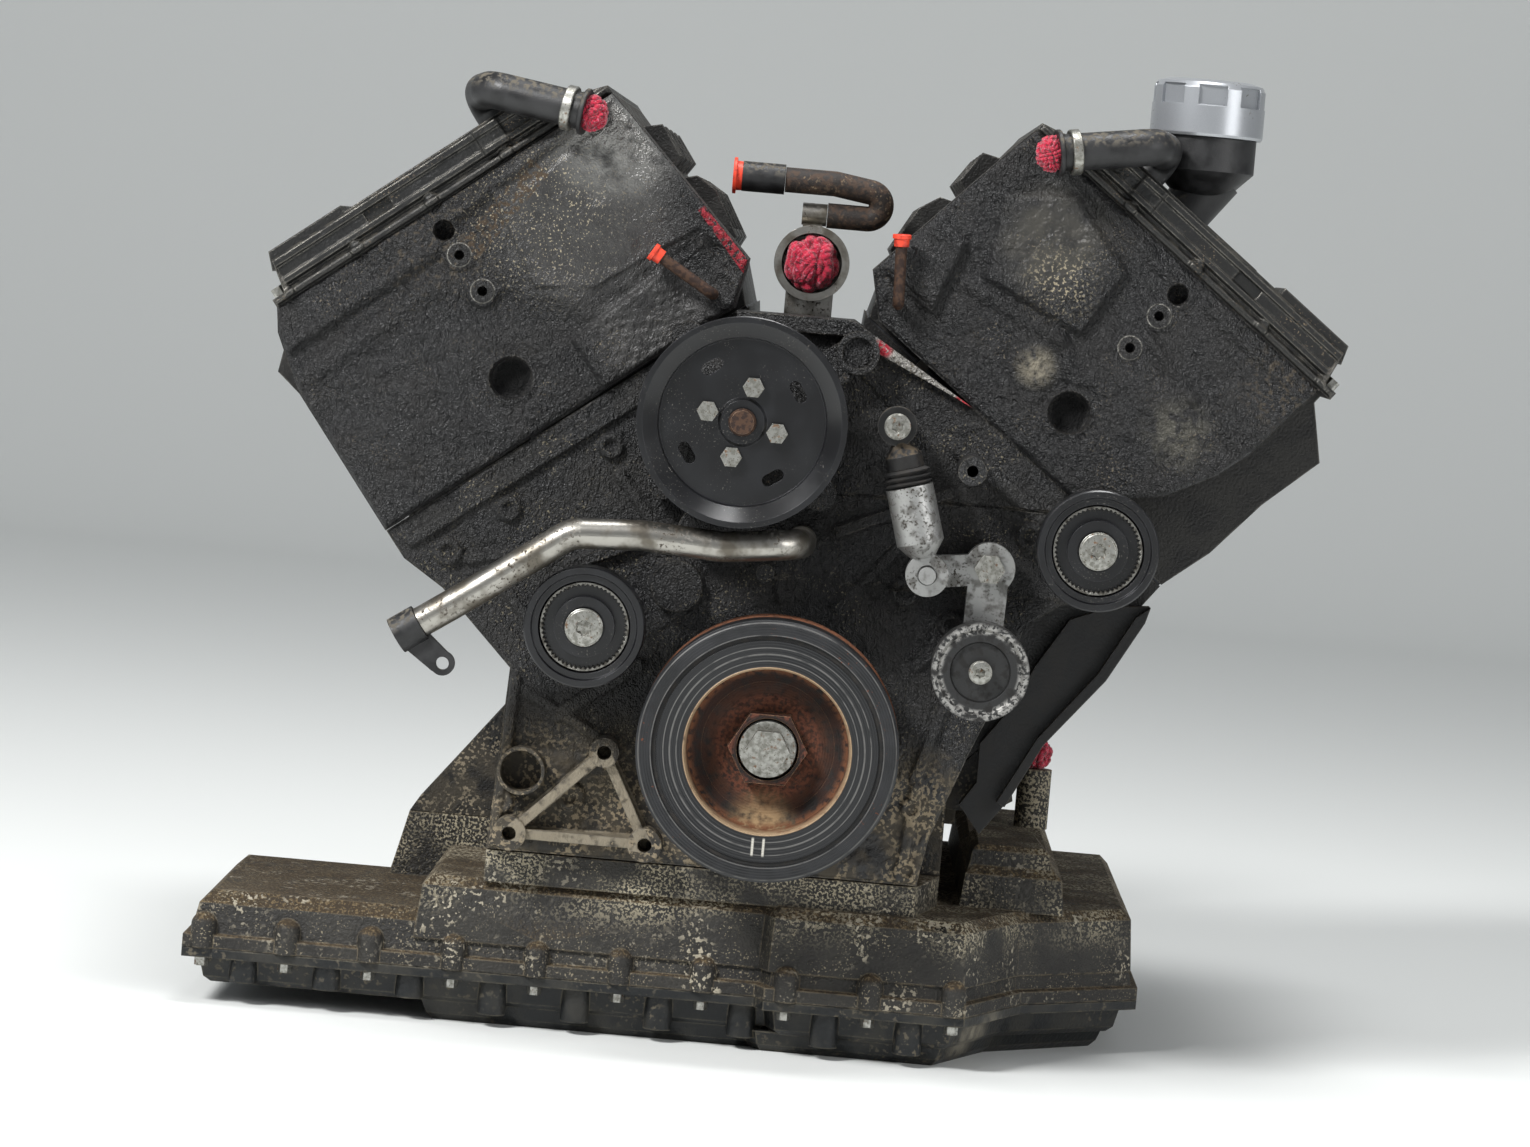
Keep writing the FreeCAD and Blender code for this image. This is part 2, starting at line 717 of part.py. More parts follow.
def lobe(side, out, station, turn):
    """A cam lobe: a base circle and a smaller nose circle, joined by flanks."""
    base = float(d.lobe_base)
    nose = 5.0
    reach = base + float(d.lobe_lift) - nose
    angle = math.acos((base - nose) / reach)
    sin_a = math.sin(angle)
    cos_a = math.cos(angle)
    left_base = FreeCAD.Vector(-base * sin_a, 0, base * cos_a)
    right_base = FreeCAD.Vector(base * sin_a, 0, base * cos_a)
    left_nose = FreeCAD.Vector(-nose * sin_a, 0, reach + nose * cos_a)
    right_nose = FreeCAD.Vector(nose * sin_a, 0, reach + nose * cos_a)
    edges = [
        Part.Arc(right_base, FreeCAD.Vector(0, 0, -base), left_base).toShape(),
        Part.LineSegment(left_base, left_nose).toShape(),
        Part.Arc(left_nose, FreeCAD.Vector(0, 0, reach + nose), right_nose).toShape(),
        Part.LineSegment(right_nose, right_base).toShape(),
    ]
    shape = Part.Face(Part.Wire(edges)).extrude(FreeCAD.Vector(0, -float(d.lobe_width), 0))
    shape.rotate(FreeCAD.Vector(), FreeCAD.Vector(0, 1, 0), turn)
    x, z = bank_point(side, out, d.cam_up)
    shape.translate(vector(x, station, z))
    return shape


def camshaft(side, out, label, driven_by_chain):
    """A camshaft with a lobe for each valve, its timing gear and, on one of each pair, a sprocket."""
    rear = d.head_rear + 6 + d.part_gap
    length = d.gear_station + d.gear_width - rear
    shape = bank_bar(side, out, d.cam_up, rear, d.cam_radius, length)
    pieces = [bank_bar(side, out, d.cam_up, d.gear_station, d.cam_out - d.part_gap / 2, d.gear_width)]
    for index in range(4):
        for spot in (-1, 1):
            station = cylinder_station(side, index) + d.lobe_spread * spot - d.lobe_width / 2
            pieces.append(lobe(side, out, station, 90 * (0, 1, 3, 2)[index] + 40 * side))
    if driven_by_chain:
        pieces.append(bank_bar(side, out, d.cam_up, d.gear_station, d.cam_radius,
                               d.chain_station + d.chain_width - d.gear_station))
        pieces.append(bank_bar(side, out, d.cam_up, d.chain_station, d.crank_sprocket_radius * 2,
                               d.chain_width))
    keep(label, feature(label, shape.fuse(pieces)))


def cam_caps():
    """Bearing bridges over both camshafts, five on each bank."""
    bridges = []
    for side in (LEFT, RIGHT):
        for number in range(5):
            station = cylinder_station(side, 0) + d.bore_pitch * (number - 0.5) - 7
            if float(station) < float(d.head_rear) + 10:
                station = d.head_rear + 10
            bridge = bank_prism(side, [(-58, d.cam_up), (58, d.cam_up), (56, d.cam_up + 20),
                                       (-56, d.cam_up + 20)], station, 12)
            holes = [bank_bar(side, out, d.cam_up, station - 1, d.cam_radius + d.shaft_clearance, 14)
                     for out in (-d.cam_out, d.cam_out)]
            bridges.append(feature("Bridge", bridge.cut(holes)))
    return bridges


def cam_cover(side, label):
    """Cover over head and timing space: a hollow casting with a flange, a ridge and cross ribs."""
    top = d.cover_top
    joint = d.head_top
    outer = [(-151, joint), (-151, joint + 6), (-137, joint + 10), (-92, top), (113, top), (118, joint + 6),
             (128, joint + 6), (128, joint)]
    wall = d.cover_wall
    inner = [(-136, joint - 1), (-132, joint + 7), (-90, top - wall), (106, top - wall), (109, joint - 1)]
    shape = bank_prism(side, outer, d.head_rear - 4, d.case_front - d.head_rear + 4)
    shape = shape.cut(bank_prism(side, inner, d.head_rear + 4, d.case_front - d.head_rear - 12))
    ridges = [bank_prism(side, [(-44, top - 1), (44, top - 1), (34, top + 5), (-34, top + 5)],
                         d.head_rear + 30, 390)]
    for index in range(5):
        station = d.head_rear + 36 + index * 88
        ridges.append(bank_prism(side, [(-96, top - 6), (-92, top + 3), (108, top + 3), (112, top - 6)],
                                 station, 7))
    ridges.append(bank_prism(side, [(52, top - 1), (52, top + 5), (112, top + 5), (117, top - 8)],
                             d.case_front - 86, 86))
    shape = shape.fuse(ridges)
    wells = []
    for index in range(4):
        x, z = bank_point(side, 0, top - 2)
        axis = bank_turn(side).multVec(FreeCAD.Vector(0, 0, 1))
        wells.append(Part.makeCylinder(15, 12, vector(x, cylinder_station(side, index), z), axis))
    keep(label, feature(label, shape.cut(wells)))


def tapered_pad(side, points, height, draft):
    """A raised field on the front of a cover: an outline lofted to a smaller one, drawn in by the draft."""
    wires = []
    centre_out = sum(out for out, up in points) / len(points)
    centre_up = sum(float(up) for out, up in points) / len(points)
    for rise_by, inset in ((-1.0, 0.0), (float(height), draft)):
        corners = []
        for out, up in points:
            away = math.hypot(out - centre_out, float(up) - centre_up)
            shrink = 1 - inset / away
            x, z = bank_point(side, centre_out + (out - centre_out) * shrink,
                              centre_up + (float(up) - centre_up) * shrink)
            corners.append(vector(x, d.case_front + rise_by, z))
        wires.append(Part.makePolygon(corners + corners[:1]))
    return Part.makeLoft(wires, True, True)


def timing_cover(side, label):
    """Front cover of one head: an open-backed shell with bosses and a plugged opening."""
    low = d.deck_up + 4.5
    joint = d.head_top
    if side == LEFT:
        edge = [(148.5, low), (147.5, joint - 56), (137, joint - 15), (128, joint)]
    else:
        edge = [(46, low), (89, low + 44.5), (106, joint - 93), (113, joint - 67), (116, joint - 20),
                (118, joint)]
    outer = edge + [(-151, joint), (-154, joint - 20), (-169, low + 23.5), (-142, low)]
    start = d.block_front
    wall = d.case_wall
    shape = bank_prism(side, outer, start, d.case_front - start)
    if side == LEFT:
        edge_in = [(140, low - 1), (139, joint - 58), (129, joint - 18), (119, joint + 1)]
    else:
        edge_in = [(38, low - 1), (81, low + 47.5), (98, joint - 91), (105, joint - 65), (108, joint + 1)]
    inner = edge_in + [(-142, joint + 1), (-145, joint - 20), (-159, low + 25.5), (-134, low - 1)]
    shape = shape.cut(bank_prism(side, inner, start - 1, d.case_front - d.case_front_wall - start + 1))
    raised = [bank_bar(side, 0, up, d.case_front - 2, 8, 8) for up in (joint - 38, joint - 68)]
    if side == LEFT:
        plug_out = 16
        hump = [(-150, joint - 4), (-44, joint - 14), (-34, joint - 85), (-68, joint - 107),
                (-152, joint - 111)]
        step = [(-40, low + 2), (-40, low + 37), (-118, low + 43), (-123, low + 2)]
        ridge = [(136, joint - 22), (136, joint - 30), (12, joint - 30), (12, joint - 22)]
        fields = ((hump, 9, 6), (step, 5, 3), (ridge, 3, 2))
    else:
        plug_out = 0
        panel = [(-136, joint - 49), (-100, joint - 18), (-38, joint - 35), (-34, joint - 83),
                 (-106, joint - 99)]
        block = [(-160, low + 29), (-156, joint - 91), (-134, joint - 91), (-120, low + 31)]
        crease = [(-14, low + 2), (-8, joint - 61), (57, joint - 69), (106, joint - 71), (104, joint - 95),
                  (48, low + 2)]
        fields = ((panel, 6, 4), (block, 7, 4), (crease, 3, 3))
    raised += [tapered_pad(side, points, height, draft) for points, height, draft in fields]
    shape = shape.fuse(raised)
    holes = [bank_bar(side, plug_out, low + 42.5, d.case_front - 9, 14.5, 30),
             bank_bar(side, 0, joint - 18, d.case_front - 9, 7, 30)]
    holes += [bank_bar(side, 0, up, d.case_front - 8, 3.5, 30) for up in (joint - 38, joint - 68)]
    keep(label, feature(label, shape.cut(holes)))


def timing_case():
    """Front cover of the block between the banks, hollow for the chain, with the belt-drive bosses."""
    low = d.deck_up + 4.2
    foot = d.skirt_bottom + 0.5
    top_left = bank_point(LEFT, -142.5, low - 2)
    top_right = bank_point(RIGHT, -154.4, low - 11)
    x, z = d.idler_right_x, d.idler_right_z
    outline_points = [
        top_left, top_right, bank_point(RIGHT, -51, low), bank_point(RIGHT, 38, low),
        bank_point(RIGHT, 48, low - 8),
        (x + 21, z + 20), (x + 41, z - 6), (232, 118), (196, 112), (172, 95),
        (156, 40), (140, 0), (118, -60), (112, foot),
        (-192, foot), (-186, 34), (-238, 86), bank_point(LEFT, 148, low - 23), bank_point(LEFT, 148, low),
    ]
    start = d.block_front
    depth = d.case_front - start
    shape = prism_shape(outline_points, start, depth)
    inside = inset([(float(x), float(z)) for x, z in outline_points], float(d.case_wall))
    hollow = prism_shape(inside, start - 1, depth - d.case_front_wall + 1)
    windows = []
    for side in (LEFT, RIGHT):
        windows.append(bank_prism(side, [(-122, low - 14), (36, low - 14), (36, low + 1), (-122, low + 1)],
                                  start - 1, depth - d.case_front_wall + 1))
    shape = shape.cut([hollow] + windows)
    front = d.case_front - 2
    bracket_x, bracket_z = bank_point(RIGHT, -24.8, d.deck_up - 27.9)
    bosses = [
        bar_shape(d.idler_left_x, front, d.idler_left_z, 17, d.idler_back - d.part_gap - front),
        bar_shape(d.idler_right_x, front, d.idler_right_z, 17, d.idler_back - d.part_gap - front),
        bar_shape(bracket_x, front, bracket_z, 10, 62),
        bar_shape(d.pump_x - 28, front, d.pump_z - 77, 11, 30),
        bar_shape(-12.8, front, 116.8, 6.5, 16),
        bar_shape(-73.9, front, 102.4, 18, 14),
        bar_shape(-171.3, front, -36, 16.8, 22),
        bar_shape(-175.7, front, -80, 12, 27),
        bar_shape(-80.3, front, -80, 12, 27),
        bar_shape(-113.9, front, -17.6, 10.5, 27),
        bar_shape(d.pivot_x, front, d.pivot_z, 14, 16),
        bar_shape(d.strut_top_x, front, d.strut_top_z, 10, 49 - d.part_gap),
    ]
    for (x1, z1), (x2, z2) in (((-175.7, -80), (-80.3, -80)), ((-80.3, -80), (-113.9, -17.6)),
                               ((-113.9, -17.6), (-175.7, -80)), ((-150, 110), (-60, float(d.pump_z) - 73)),
                               ((36, 150), (112, 184))):
        run = FreeCAD.Vector(x2 - x1, 0, z2 - z1)
        across = FreeCAD.Vector(-run.z, 0, run.x).normalize() * 3.5
        rib_points = [(x1 + across.x, z1 + across.z), (x2 + across.x, z2 + across.z),
                      (x2 - across.x, z2 - across.z), (x1 - across.x, z1 - across.z)]
        deep = 22 if z1 < 0 else 9
        bosses.append(prism_shape(rib_points, front, deep))
    bar_points = [top_left, top_right, bank_point(RIGHT, -51, low), bank_point(RIGHT, -66, low - 3),
                  (top_right[0] - 4, top_right[1] - 11), (top_left[0] + 3, top_left[1] - 11)]
    bosses.append(prism_shape(bar_points, front, 12))
    shape = shape.fuse(bosses)
    holes = [
        bar_shape(0, start - 1, 0, 34, 120),
        bar_shape(-171.3, front - 6, -36, 14.5, 40),
        bar_shape(bracket_x, d.case_front + 20, bracket_z, 4, 60),
    ]
    for x, z, deep in ((-175.7, -80, 4), (-80.3, -80, 2), (-113.9, -17.6, 0)):
        holes.append(bar_shape(x, front - deep, z, 5, 60))
    for x, z in ((d.idler_left_x, d.idler_left_z), (d.idler_right_x, d.idler_right_z)):
        holes.append(bar_shape(x, front + 4, z, 8, 60))
    holes.append(bar_shape(d.pivot_x, front - 4, d.pivot_z, 8, 30))
    holes.append(bar_shape(d.strut_top_x, front + 4, d.strut_top_z, 6, 60))
    keep("timing_case", feature("TimingCase", shape.cut(holes)))


# Chain drive


def chain_loop(spots, half, start, width):
    """A band round circles given as (x, z, radius, inside); inside ones are wrapped, others pressed on."""
    count = len(spots)
    tangents = []
    for i in range(count):
        x1, z1, r1, in1 = spots[i]
        x2, z2, r2, in2 = spots[(i + 1) % count]
        run = math.hypot(x2 - x1, z2 - z1)
        heading = math.atan2(z2 - z1, x2 - x1)
        s1 = r1 if in1 else -r1
        s2 = r2 if in2 else -r2
        swing = math.asin((s2 - s1) / run)
        normal = heading + swing + math.pi / 2
        n = (math.cos(normal), math.sin(normal))
        tangents.append(((x1 + s1 * n[0], z1 + s1 * n[1]), (x2 + s2 * n[0], z2 + s2 * n[1])))
    edges = []
    for i in range(count):
        x, z, r, inside = spots[i]
        arrive = tangents[i - 1][1]
        leave = tangents[i][0]
        first = math.atan2(arrive[1] - z, arrive[0] - x)
        last = math.atan2(leave[1] - z, leave[0] - x)
        if inside:
            while last > first:
                last -= 2 * math.pi
        else:
            while last < first:
                last += 2 * math.pi
        middle = (first + last) / 2
        bend = (x + r * math.cos(middle), z + r * math.sin(middle))
        edges.append(Part.Arc(vector(arrive[0], start, arrive[1]), vector(bend[0], start, bend[1]),
                              vector(leave[0], start, leave[1])).toShape())
        far = tangents[i][1]
        run_end = vector(far[0], start, far[1])
        edges.append(Part.LineSegment(vector(leave[0], start, leave[1]), run_end).toShape())
    middle_line = Part.Wire(edges)
    faces = [Part.Face(middle_line.makeOffset2D(offset, join=0)) for offset in (half, -half)]
    faces.sort(key=lambda face: face.Area)
    return faces[1].cut(faces[0]).extrude(FreeCAD.Vector(0, -float(width), 0))


def chain_drive():
    """The timing chain runs from the crankshaft over one sprocket on each bank, and under the valley's."""
    reach = float(d.chain_thickness) / 2 + float(d.part_gap)
    left_x, cam_z = bank_point(LEFT, -d.cam_out, d.cam_up)
    spots = [
        (0.0, 0.0, float(d.crank_sprocket_radius) + reach, True),
        (float(left_x), float(cam_z), float(d.crank_sprocket_radius) * 2 + reach, True),
        (0.0, float(d.valley_sprocket_height), float(d.valley_sprocket_radius) + reach, False),
        (-float(left_x), float(cam_z), float(d.crank_sprocket_radius) * 2 + reach, True),
    ]
    band = chain_loop(spots, float(d.chain_thickness) / 2, d.chain_station, d.chain_width)
    keep("timing_chain", feature("TimingChain", band))
    sprocket = lathe("crank_sprocket", [
        (d.block_front + 6, d.nose_radius), (d.block_front + 6, d.nose_radius + 4),
        (d.chain_station, d.nose_radius + 4), (d.chain_station, d.crank_sprocket_radius),
        (d.chain_station + d.chain_width, d.crank_sprocket_radius),
        (d.chain_station + d.chain_width, d.nose_radius)])
    keep("crank_sprocket", sprocket)
    valley = lathe("valley_sprocket", [
        (d.block_front + d.part_gap, 0.0), (d.block_front + d.part_gap, 12), (d.chain_station, 12),
        (d.chain_station, d.valley_sprocket_radius),
        (d.chain_station + d.chain_width, d.valley_sprocket_radius),
        (d.chain_station + d.chain_width, 12), (d.case_front - d.case_front_wall - 1, 12),
        (d.case_front - d.case_front_wall - 1, 0.0)], 0.0, d.valley_sprocket_height)
    keep("valley_sprocket", valley)


# Crankshaft pulley


def crank_pulley():
    """Damper: a hub with a belt track, a rubber ring and the outer ring, held by one bolt."""
    back = d.damper_back
    front = d.damper_front
    outer = d.damper_radius
    rubber_in = outer - 14
    rubber_out = outer - 11
    seal_radius = 30.0
    track = [(back - 34, rubber_in)]
    for index in range(5):
        groove = back - 32 + index * 6
        track += [(groove, outer), (groove + 3, outer - 3)]
    track += [(back - 2, outer), (back - 2, rubber_in)]
    nose = d.case_front - 10
    profile = [(nose, d.nose_radius), (nose, seal_radius), (back - 30, seal_radius),
               (back - 30, rubber_in - 12)]
    profile = profile + track + [
        (front - 1, rubber_in), (front - 1, outer - 33), (front - 3, outer - 34), (back + 9, outer - 35),
        (back + 3, 46), (back + 2, 40), (back + 2, d.nose_radius)]
    boss = hexagon(0, back + 1, 0, d.hub_hexagon, 15)
    ream = rod_part(0, back + 1, 0, d.nose_radius + 1.5, 20)
    keep("damper_hub", fuse([lathe("hub_blank", profile), cut(boss, [ream], "HexagonBoss")]))
    keep("damper_rubber", lathe("damper_rubber", [
        (back + 2, rubber_in), (back + 2, rubber_out), (front - 2, rubber_out), (front - 2, rubber_in)]))
    keep("damper_ring", lathe("damper_ring", [
        (back, rubber_out), (back, outer - 1), (back + 2, outer), (front - 3, outer), (front, outer - 3),
        (front, rubber_out)]))
    washer = rod_part(0, back + 10 + d.part_gap, 0, 19.5, 5)
    keep("crank_bolt", fuse([washer, hexagon(0, back + 14.7, 0, 27, 15)]))
    lip = seal_radius + d.shaft_clearance
    keep("front_seal", lathe("front_seal", [
        (nose - 1, lip), (nose - 1, 34), (nose + 9, 34), (nose + 9, lip)]))


# Water pump


def water_pump():
    """Pump housing on the case, shaft with hub, dished pulley with four slots and four bolts."""
    x = d.pump_x
    z = d.pump_z
    front = d.case_front
    body = bar_shape(x, front, z, 58, 24)
    neck = Part.makeCone(58, 30, 14, vector(x, front + 24, z), FreeCAD.Vector(0, -1, 0))
    nose = bar_shape(x, front + 38, z, 26, 14)
    pieces = [neck, nose]
    for lug_out, lug_up, lug_r in ((75.2, 53, 15), (-43.3, 53, 12), (-51.3, -48, 12), (56.7, -47, 12)):
        pieces.append(bar_shape(x + lug_out, front + 10.3, z + lug_up, lug_r, 14))
        across = FreeCAD.Vector(-lug_up, 0, lug_out).normalize() * (lug_r - 2)
        pieces.append(prism_shape([
            (x + across.x, z + across.z), (x + lug_out + across.x, z + lug_up + across.z),
            (x + lug_out - across.x, z + lug_up - across.z), (x - across.x, z - across.z)],
            front + 10.3, 10))
    housing = body.fuse(pieces)
    face = front + 73
    bore = bar_shape(x, front + 2, z, 9 + float(d.shaft_clearance), 80)
    well = bar_shape(x + 75.2, front + 20, z + 53, 11, 10)
    keep("water_pump_housing", feature("PumpHousing", housing.cut([bore, well])))
    shaft = [(front + 4, 0.0), (front + 4, 9), (face - 9, 9), (face - 9, 17), (face - 4, 17), (face - 4, 33),
             (face, 33), (face, 9.5), (face + 11, 9.5), (face + 13, 8), (face + 13, 0.0)]
    keep("water_pump_shaft", lathe("water_pump_shaft", shaft, x, z))
    radius = d.pump_pulley_radius
    seat = face + d.shaft_clearance
    profile = [
        (face - 15, radius - 3), (face - 15, radius), (face - 13, radius), (face - 11, radius - 2),
        (face + 13, radius - 2), (face + 15, radius), (face + 18, radius), (face + 18, radius - 4),
        (face + 9, radius - 14), (face + 4, radius - 15), (face + 4, 17), (face + 6, 15), (face + 6, 9.6),
        (seat, 9.6), (seat, radius - 10), (face + 9, radius - 6)]
    pulley = lathe("pulley_blank", profile, x, z)
    tools = []
    for index in range(4):
        turn = math.radians(33.5 + 90 * index)
        out = float(d.pump_slot_circle)
        slot = Part.makeBox(8, 30, 8, vector(-4, face + 27, out - 4))
        ends = [bar_shape(end, face - 3, out, 4, 30) for end in (-4, 4)]
        slot = slot.fuse(ends)
        slot.rotate(FreeCAD.Vector(), FreeCAD.Vector(0, 1, 0), -math.degrees(turn))
        slot.translate(vector(x, 0, z))
        tools.append(feature("Slot", slot))
    bolts = []
    for index in range(4):
        turn = math.radians(13 + 90 * index)
        bx = x + float(d.pump_bolt_circle) * math.sin(turn)
        bz = z + float(d.pump_bolt_circle) * math.cos(turn)
        tools.append(rod_part(bx, face - 3, bz, 4, 20))
        bolts.append(fuse([rod_part(bx, seat, bz, 4, 5), hexagon(bx, seat + 4, bz, 13, 6)]))
    keep("water_pump_pulley", cut(pulley, tools, "Pulley"))
    keep("pump_pulley_bolts", group(bolts))


# Idlers, tensioner and strut


def idler(label, x, z):
    """Guide pulley with a stepped face round its bearing."""
    r = d.idler_radius
    back = d.idler_back
    front = d.idler_front
    keep(label, lathe(label, [
        (back, 12), (back, 20), (back + 6, 22), (back + 6, r - 10), (back + 1, r - 8), (back + 1, r - 1),
        (back + 2, r), (front - 2, r), (front - 1, r - 1), (front - 1, r - 5), (front - 4, r - 6),
        (front - 4, r - 10), (front - 12, r - 11), (front - 12, 21), (front - 4, 21), (front - 4, 14),
        (front - 6, 14), (front - 6, 8 + d.shaft_clearance), (back, 8 + d.shaft_clearance)], x, z))


def torx_bolt(x, z, head_station, head_radius, shank_radius, shank_back):
    """A cap bolt seen from the front: a round head with a recess, and its shank."""
    head_part = bar_shape(x, head_station, z, head_radius, 8)
    shank = bar_shape(x, shank_back, z, shank_radius, head_station - shank_back)
    recess = bar_shape(x, head_station + 4, z, head_radius * 0.42, 6)
    return feature("Bolt", head_part.fuse(shank).cut(recess))


def idler_set():
    idler("idler_left", d.idler_left_x, d.idler_left_z)
    idler("idler_right", d.idler_right_x, d.idler_right_z)
    head_at = d.idler_front - 6 + d.part_gap
    return [torx_bolt(d.idler_left_x, d.idler_left_z, head_at, 13, 8, d.case_front + 4),
            torx_bolt(d.idler_right_x, d.idler_right_z, head_at, 13, 8, d.case_front + 4)]


def tensioner():
    """Arm with a roller, turning about its pivot bolt; the strut pushes on its short leg."""
    back = d.case_front + 14 + d.part_gap
    px, pz = d.pivot_x, d.pivot_z
    arm = [bar_shape(px, back, pz, 18, 14), bar_shape(d.roller_x, back, d.roller_z, 17, 14),
           bar_shape(d.strut_low_x, back, d.strut_low_z, 14, 14)]
    for end_x, end_z, width in ((d.roller_x, d.roller_z, 14), (d.strut_low_x, d.strut_low_z, 11)):
        tx, tz = float(end_x), float(end_z)
        run = FreeCAD.Vector(tx - float(px), 0, tz - float(pz))
        across = FreeCAD.Vector(-run.z, 0, run.x).normalize() * width
        arm.append(prism_shape([
            (float(px) + across.x, float(pz) + across.z), (tx + across.x, tz + across.z),
            (tx - across.x, tz - across.z), (float(px) - across.x, float(pz) - across.z)], back, 14))
    arm.append(bar_shape(d.roller_x, back, d.roller_z, 13, d.idler_back - d.part_gap - back))
    arm.append(bar_shape(d.strut_low_x, back, d.strut_low_z, 6, d.case_front + 68 - back))
    shape = arm[0].fuse(arm[1:])
    holes = [bar_shape(px, back - 1, pz, 8 + float(d.shaft_clearance), 30),
             bar_shape(d.roller_x, back + 4, d.roller_z, 6, 60)]
    keep("tensioner_arm", feature("TensionerArm", shape.cut(holes)))
    pivot_bolt = fuse([rod_part(px, d.case_front + 2, pz, 8, back + 14.3 - d.case_front - 2),
                       hexagon(px, back + 14.3, pz, 19, 9)])
    r = d.roller_radius
    f = d.idler_front
    keep("tensioner_roller", lathe("tensioner_roller", [
        (d.idler_back, 8), (d.idler_back, 18), (d.idler_back + 3, 20), (d.idler_back + 3, r - 4),
        (d.idler_back, r - 3), (d.idler_back, r), (f, r), (f, r - 4), (f - 2, r - 6), (f - 2, 21),
        (f - 5, 20),
        (f - 5, 6 + d.shaft_clearance), (d.idler_back, 6 + d.shaft_clearance)][1:], d.roller_x, d.roller_z))
    keep("roller_bolt", torx_bolt(d.roller_x, d.roller_z, f - 5 + d.part_gap, 8, 6, back + 4))
    return pivot_bolt


def strut():
    """Damper strut between the case and the arm: eyes, a piston rod, a rubber boot and a cylinder."""
    middle = d.case_front + 53
    top = vector(d.strut_top_x, middle, d.strut_top_z)
    low = vector(d.strut_low_x, middle, d.strut_low_z)
    way = (low - top).normalize()
    eye_width = 12.0
    def at(distance):
        return top + way * distance
    forward = FreeCAD.Vector(0, -1, 0)
    rod = Part.makeCylinder(13.7, eye_width, top - forward * (eye_width / 2), forward)
    rod = rod.fuse([cone_between(at(11), at(21), 5.5, 13.0), cone_between(at(21), at(30), 13.0, 13.0),
                    cone_between(at(30), at(64), 6.0, 6.0)])
    rod = rod.cut(Part.makeCylinder(6.05, 30, top + FreeCAD.Vector(0, 15, 0), FreeCAD.Vector(0, -1, 0)))
    keep("strut_rod", feature("StrutRod", rod))
    boot_parts = []
    for index in range(3):
        boot_parts.append(cone_between(at(30.3 + 4 * index), at(32.3 + 4 * index), 13.5, 16.5))
        boot_parts.append(cone_between(at(32.3 + 4 * index), at(34.3 + 4 * index), 16.5, 13.5))
    boot = boot_parts[0].fuse(boot_parts[1:]).cut(cone_between(at(30), at(43), 7.0, 7.0))
    keep("strut_boot", feature("StrutBoot", boot))
    body = cone_between(at(42.7), at(82), 16.5, 16.5)
    body = body.fuse([cone_between(at(82), at(93), 16.5, 8.0),
                      Part.makeCylinder(15, 11, low + FreeCAD.Vector(0, 5.5, 0), FreeCAD.Vector(0, -1, 0))])
    body = body.cut([cone_between(at(42), at(77), 6.05, 6.05),
                     Part.makeCylinder(6.9, 30, low + FreeCAD.Vector(0, 15, 0), FreeCAD.Vector(0, -1, 0))])
    keep("strut_cylinder", feature("StrutCylinder", body))
    return torx_bolt(d.strut_top_x, d.strut_top_z, middle + 6 + d.part_gap, 9, 6, d.case_front + 4)


# Pipes, ports and the filler


def coolant_parts():
    """Front coolant pipe, the outlet in the valley and the hose above it."""
    st = d.pipe_station
    r = float(d.pipe_radius)
    z = d.pump_z - 81
    root = d.case_front + d.part_gap
    pipe = tube_path([(10.3, root, z), (10.3, st, z), (-44, st, z - 6), (-99.5, st, z - 3),
                      (-147.4, st, 136.3), (-212, st, 89.4), (-246, st, 66)], r, 24.0)
    keep("coolant_pipe", feature("CoolantPipe", pipe))
    end_low = vector(-262, st, 55)
    end_high = vector(-246.3, st, 65.8)
    ear = Part.makeCylinder(8.5, 5, vector(-228.6, st - 2.5, 39.1), FreeCAD.Vector(0, -1, 0))
    arm_points = [(-250, 68), (-222, 44), (-235, 33), (-262, 52)]
    fitting = cone_between(end_low, end_high, 13.0, 13.0).fuse([ear, prism_shape(arm_points, st - 2.5, 5)])
    fitting = fitting.cut([bar_shape(-228.6, st - 5, 39.1, 4.5, 12),
                           cone_between(vector(-266, st, 52.3), end_high, 8.0, 8.0),
                           cone_between(end_high, vector(-212, st, 89.4), 10.9, 10.9)])
    pipe_end = feature("PipeEnd", fitting)
    z = d.outlet_z
    end = d.block_front
    neck = bar_shape(0, end - 60, z, d.outlet_radius, 60)
    foot = Part.makeBox(34, 40, float(z) - 195, vector(-17, end - 12, d.valley_floor))
    rim = bar_shape(0, end - 6, z, d.outlet_radius + 2, 6)
    hollow = bar_shape(0, end - 52, z, d.outlet_radius - 3.5, 60)
    spigot = cone_between(vector(-10, end - 25, z + 35), vector(7.7, end - 25, z + 35), 8.0, 8.0)
    saddle = Part.makeBox(14, 14, 14, vector(-9, end - 21, z + d.outlet_radius - 3))
    keep("coolant_outlet", feature("CoolantOutlet", foot.fuse([neck, rim, spigot, saddle]).cut(hollow)))
    hose = tube_path([(-24, end - 20, z + 58), (12, end - 20, z + 58), (46, end - 22, z + 53),
                      (46, end - 25, z + 35), (8, end - 25, z + 35)], 9.0, 9.6)
    keep("top_hose", feature("TopHose", hose))
    connector = feature("HoseConnector", cone_between(
        vector(-55, end - 20, z + 58), vector(-24.4, end - 20, z + 58), 10.8, 10.8))
    return [pipe_end, connector]


def elbow_path(side):
    """Places along an elbow: up from the cover, forward, then down in front of it."""
    front = d.case_front
    stops = [(-72, 0.3, front - 25), (-72, 20, front - 25), (-82, 15, front + 19), (-129, -34, front + 30)]
    path = []
    for out, rise_above, station in stops:
        x, z = bank_point(side, out, d.cover_top + rise_above)
        path.append((x, station, z))
    return path


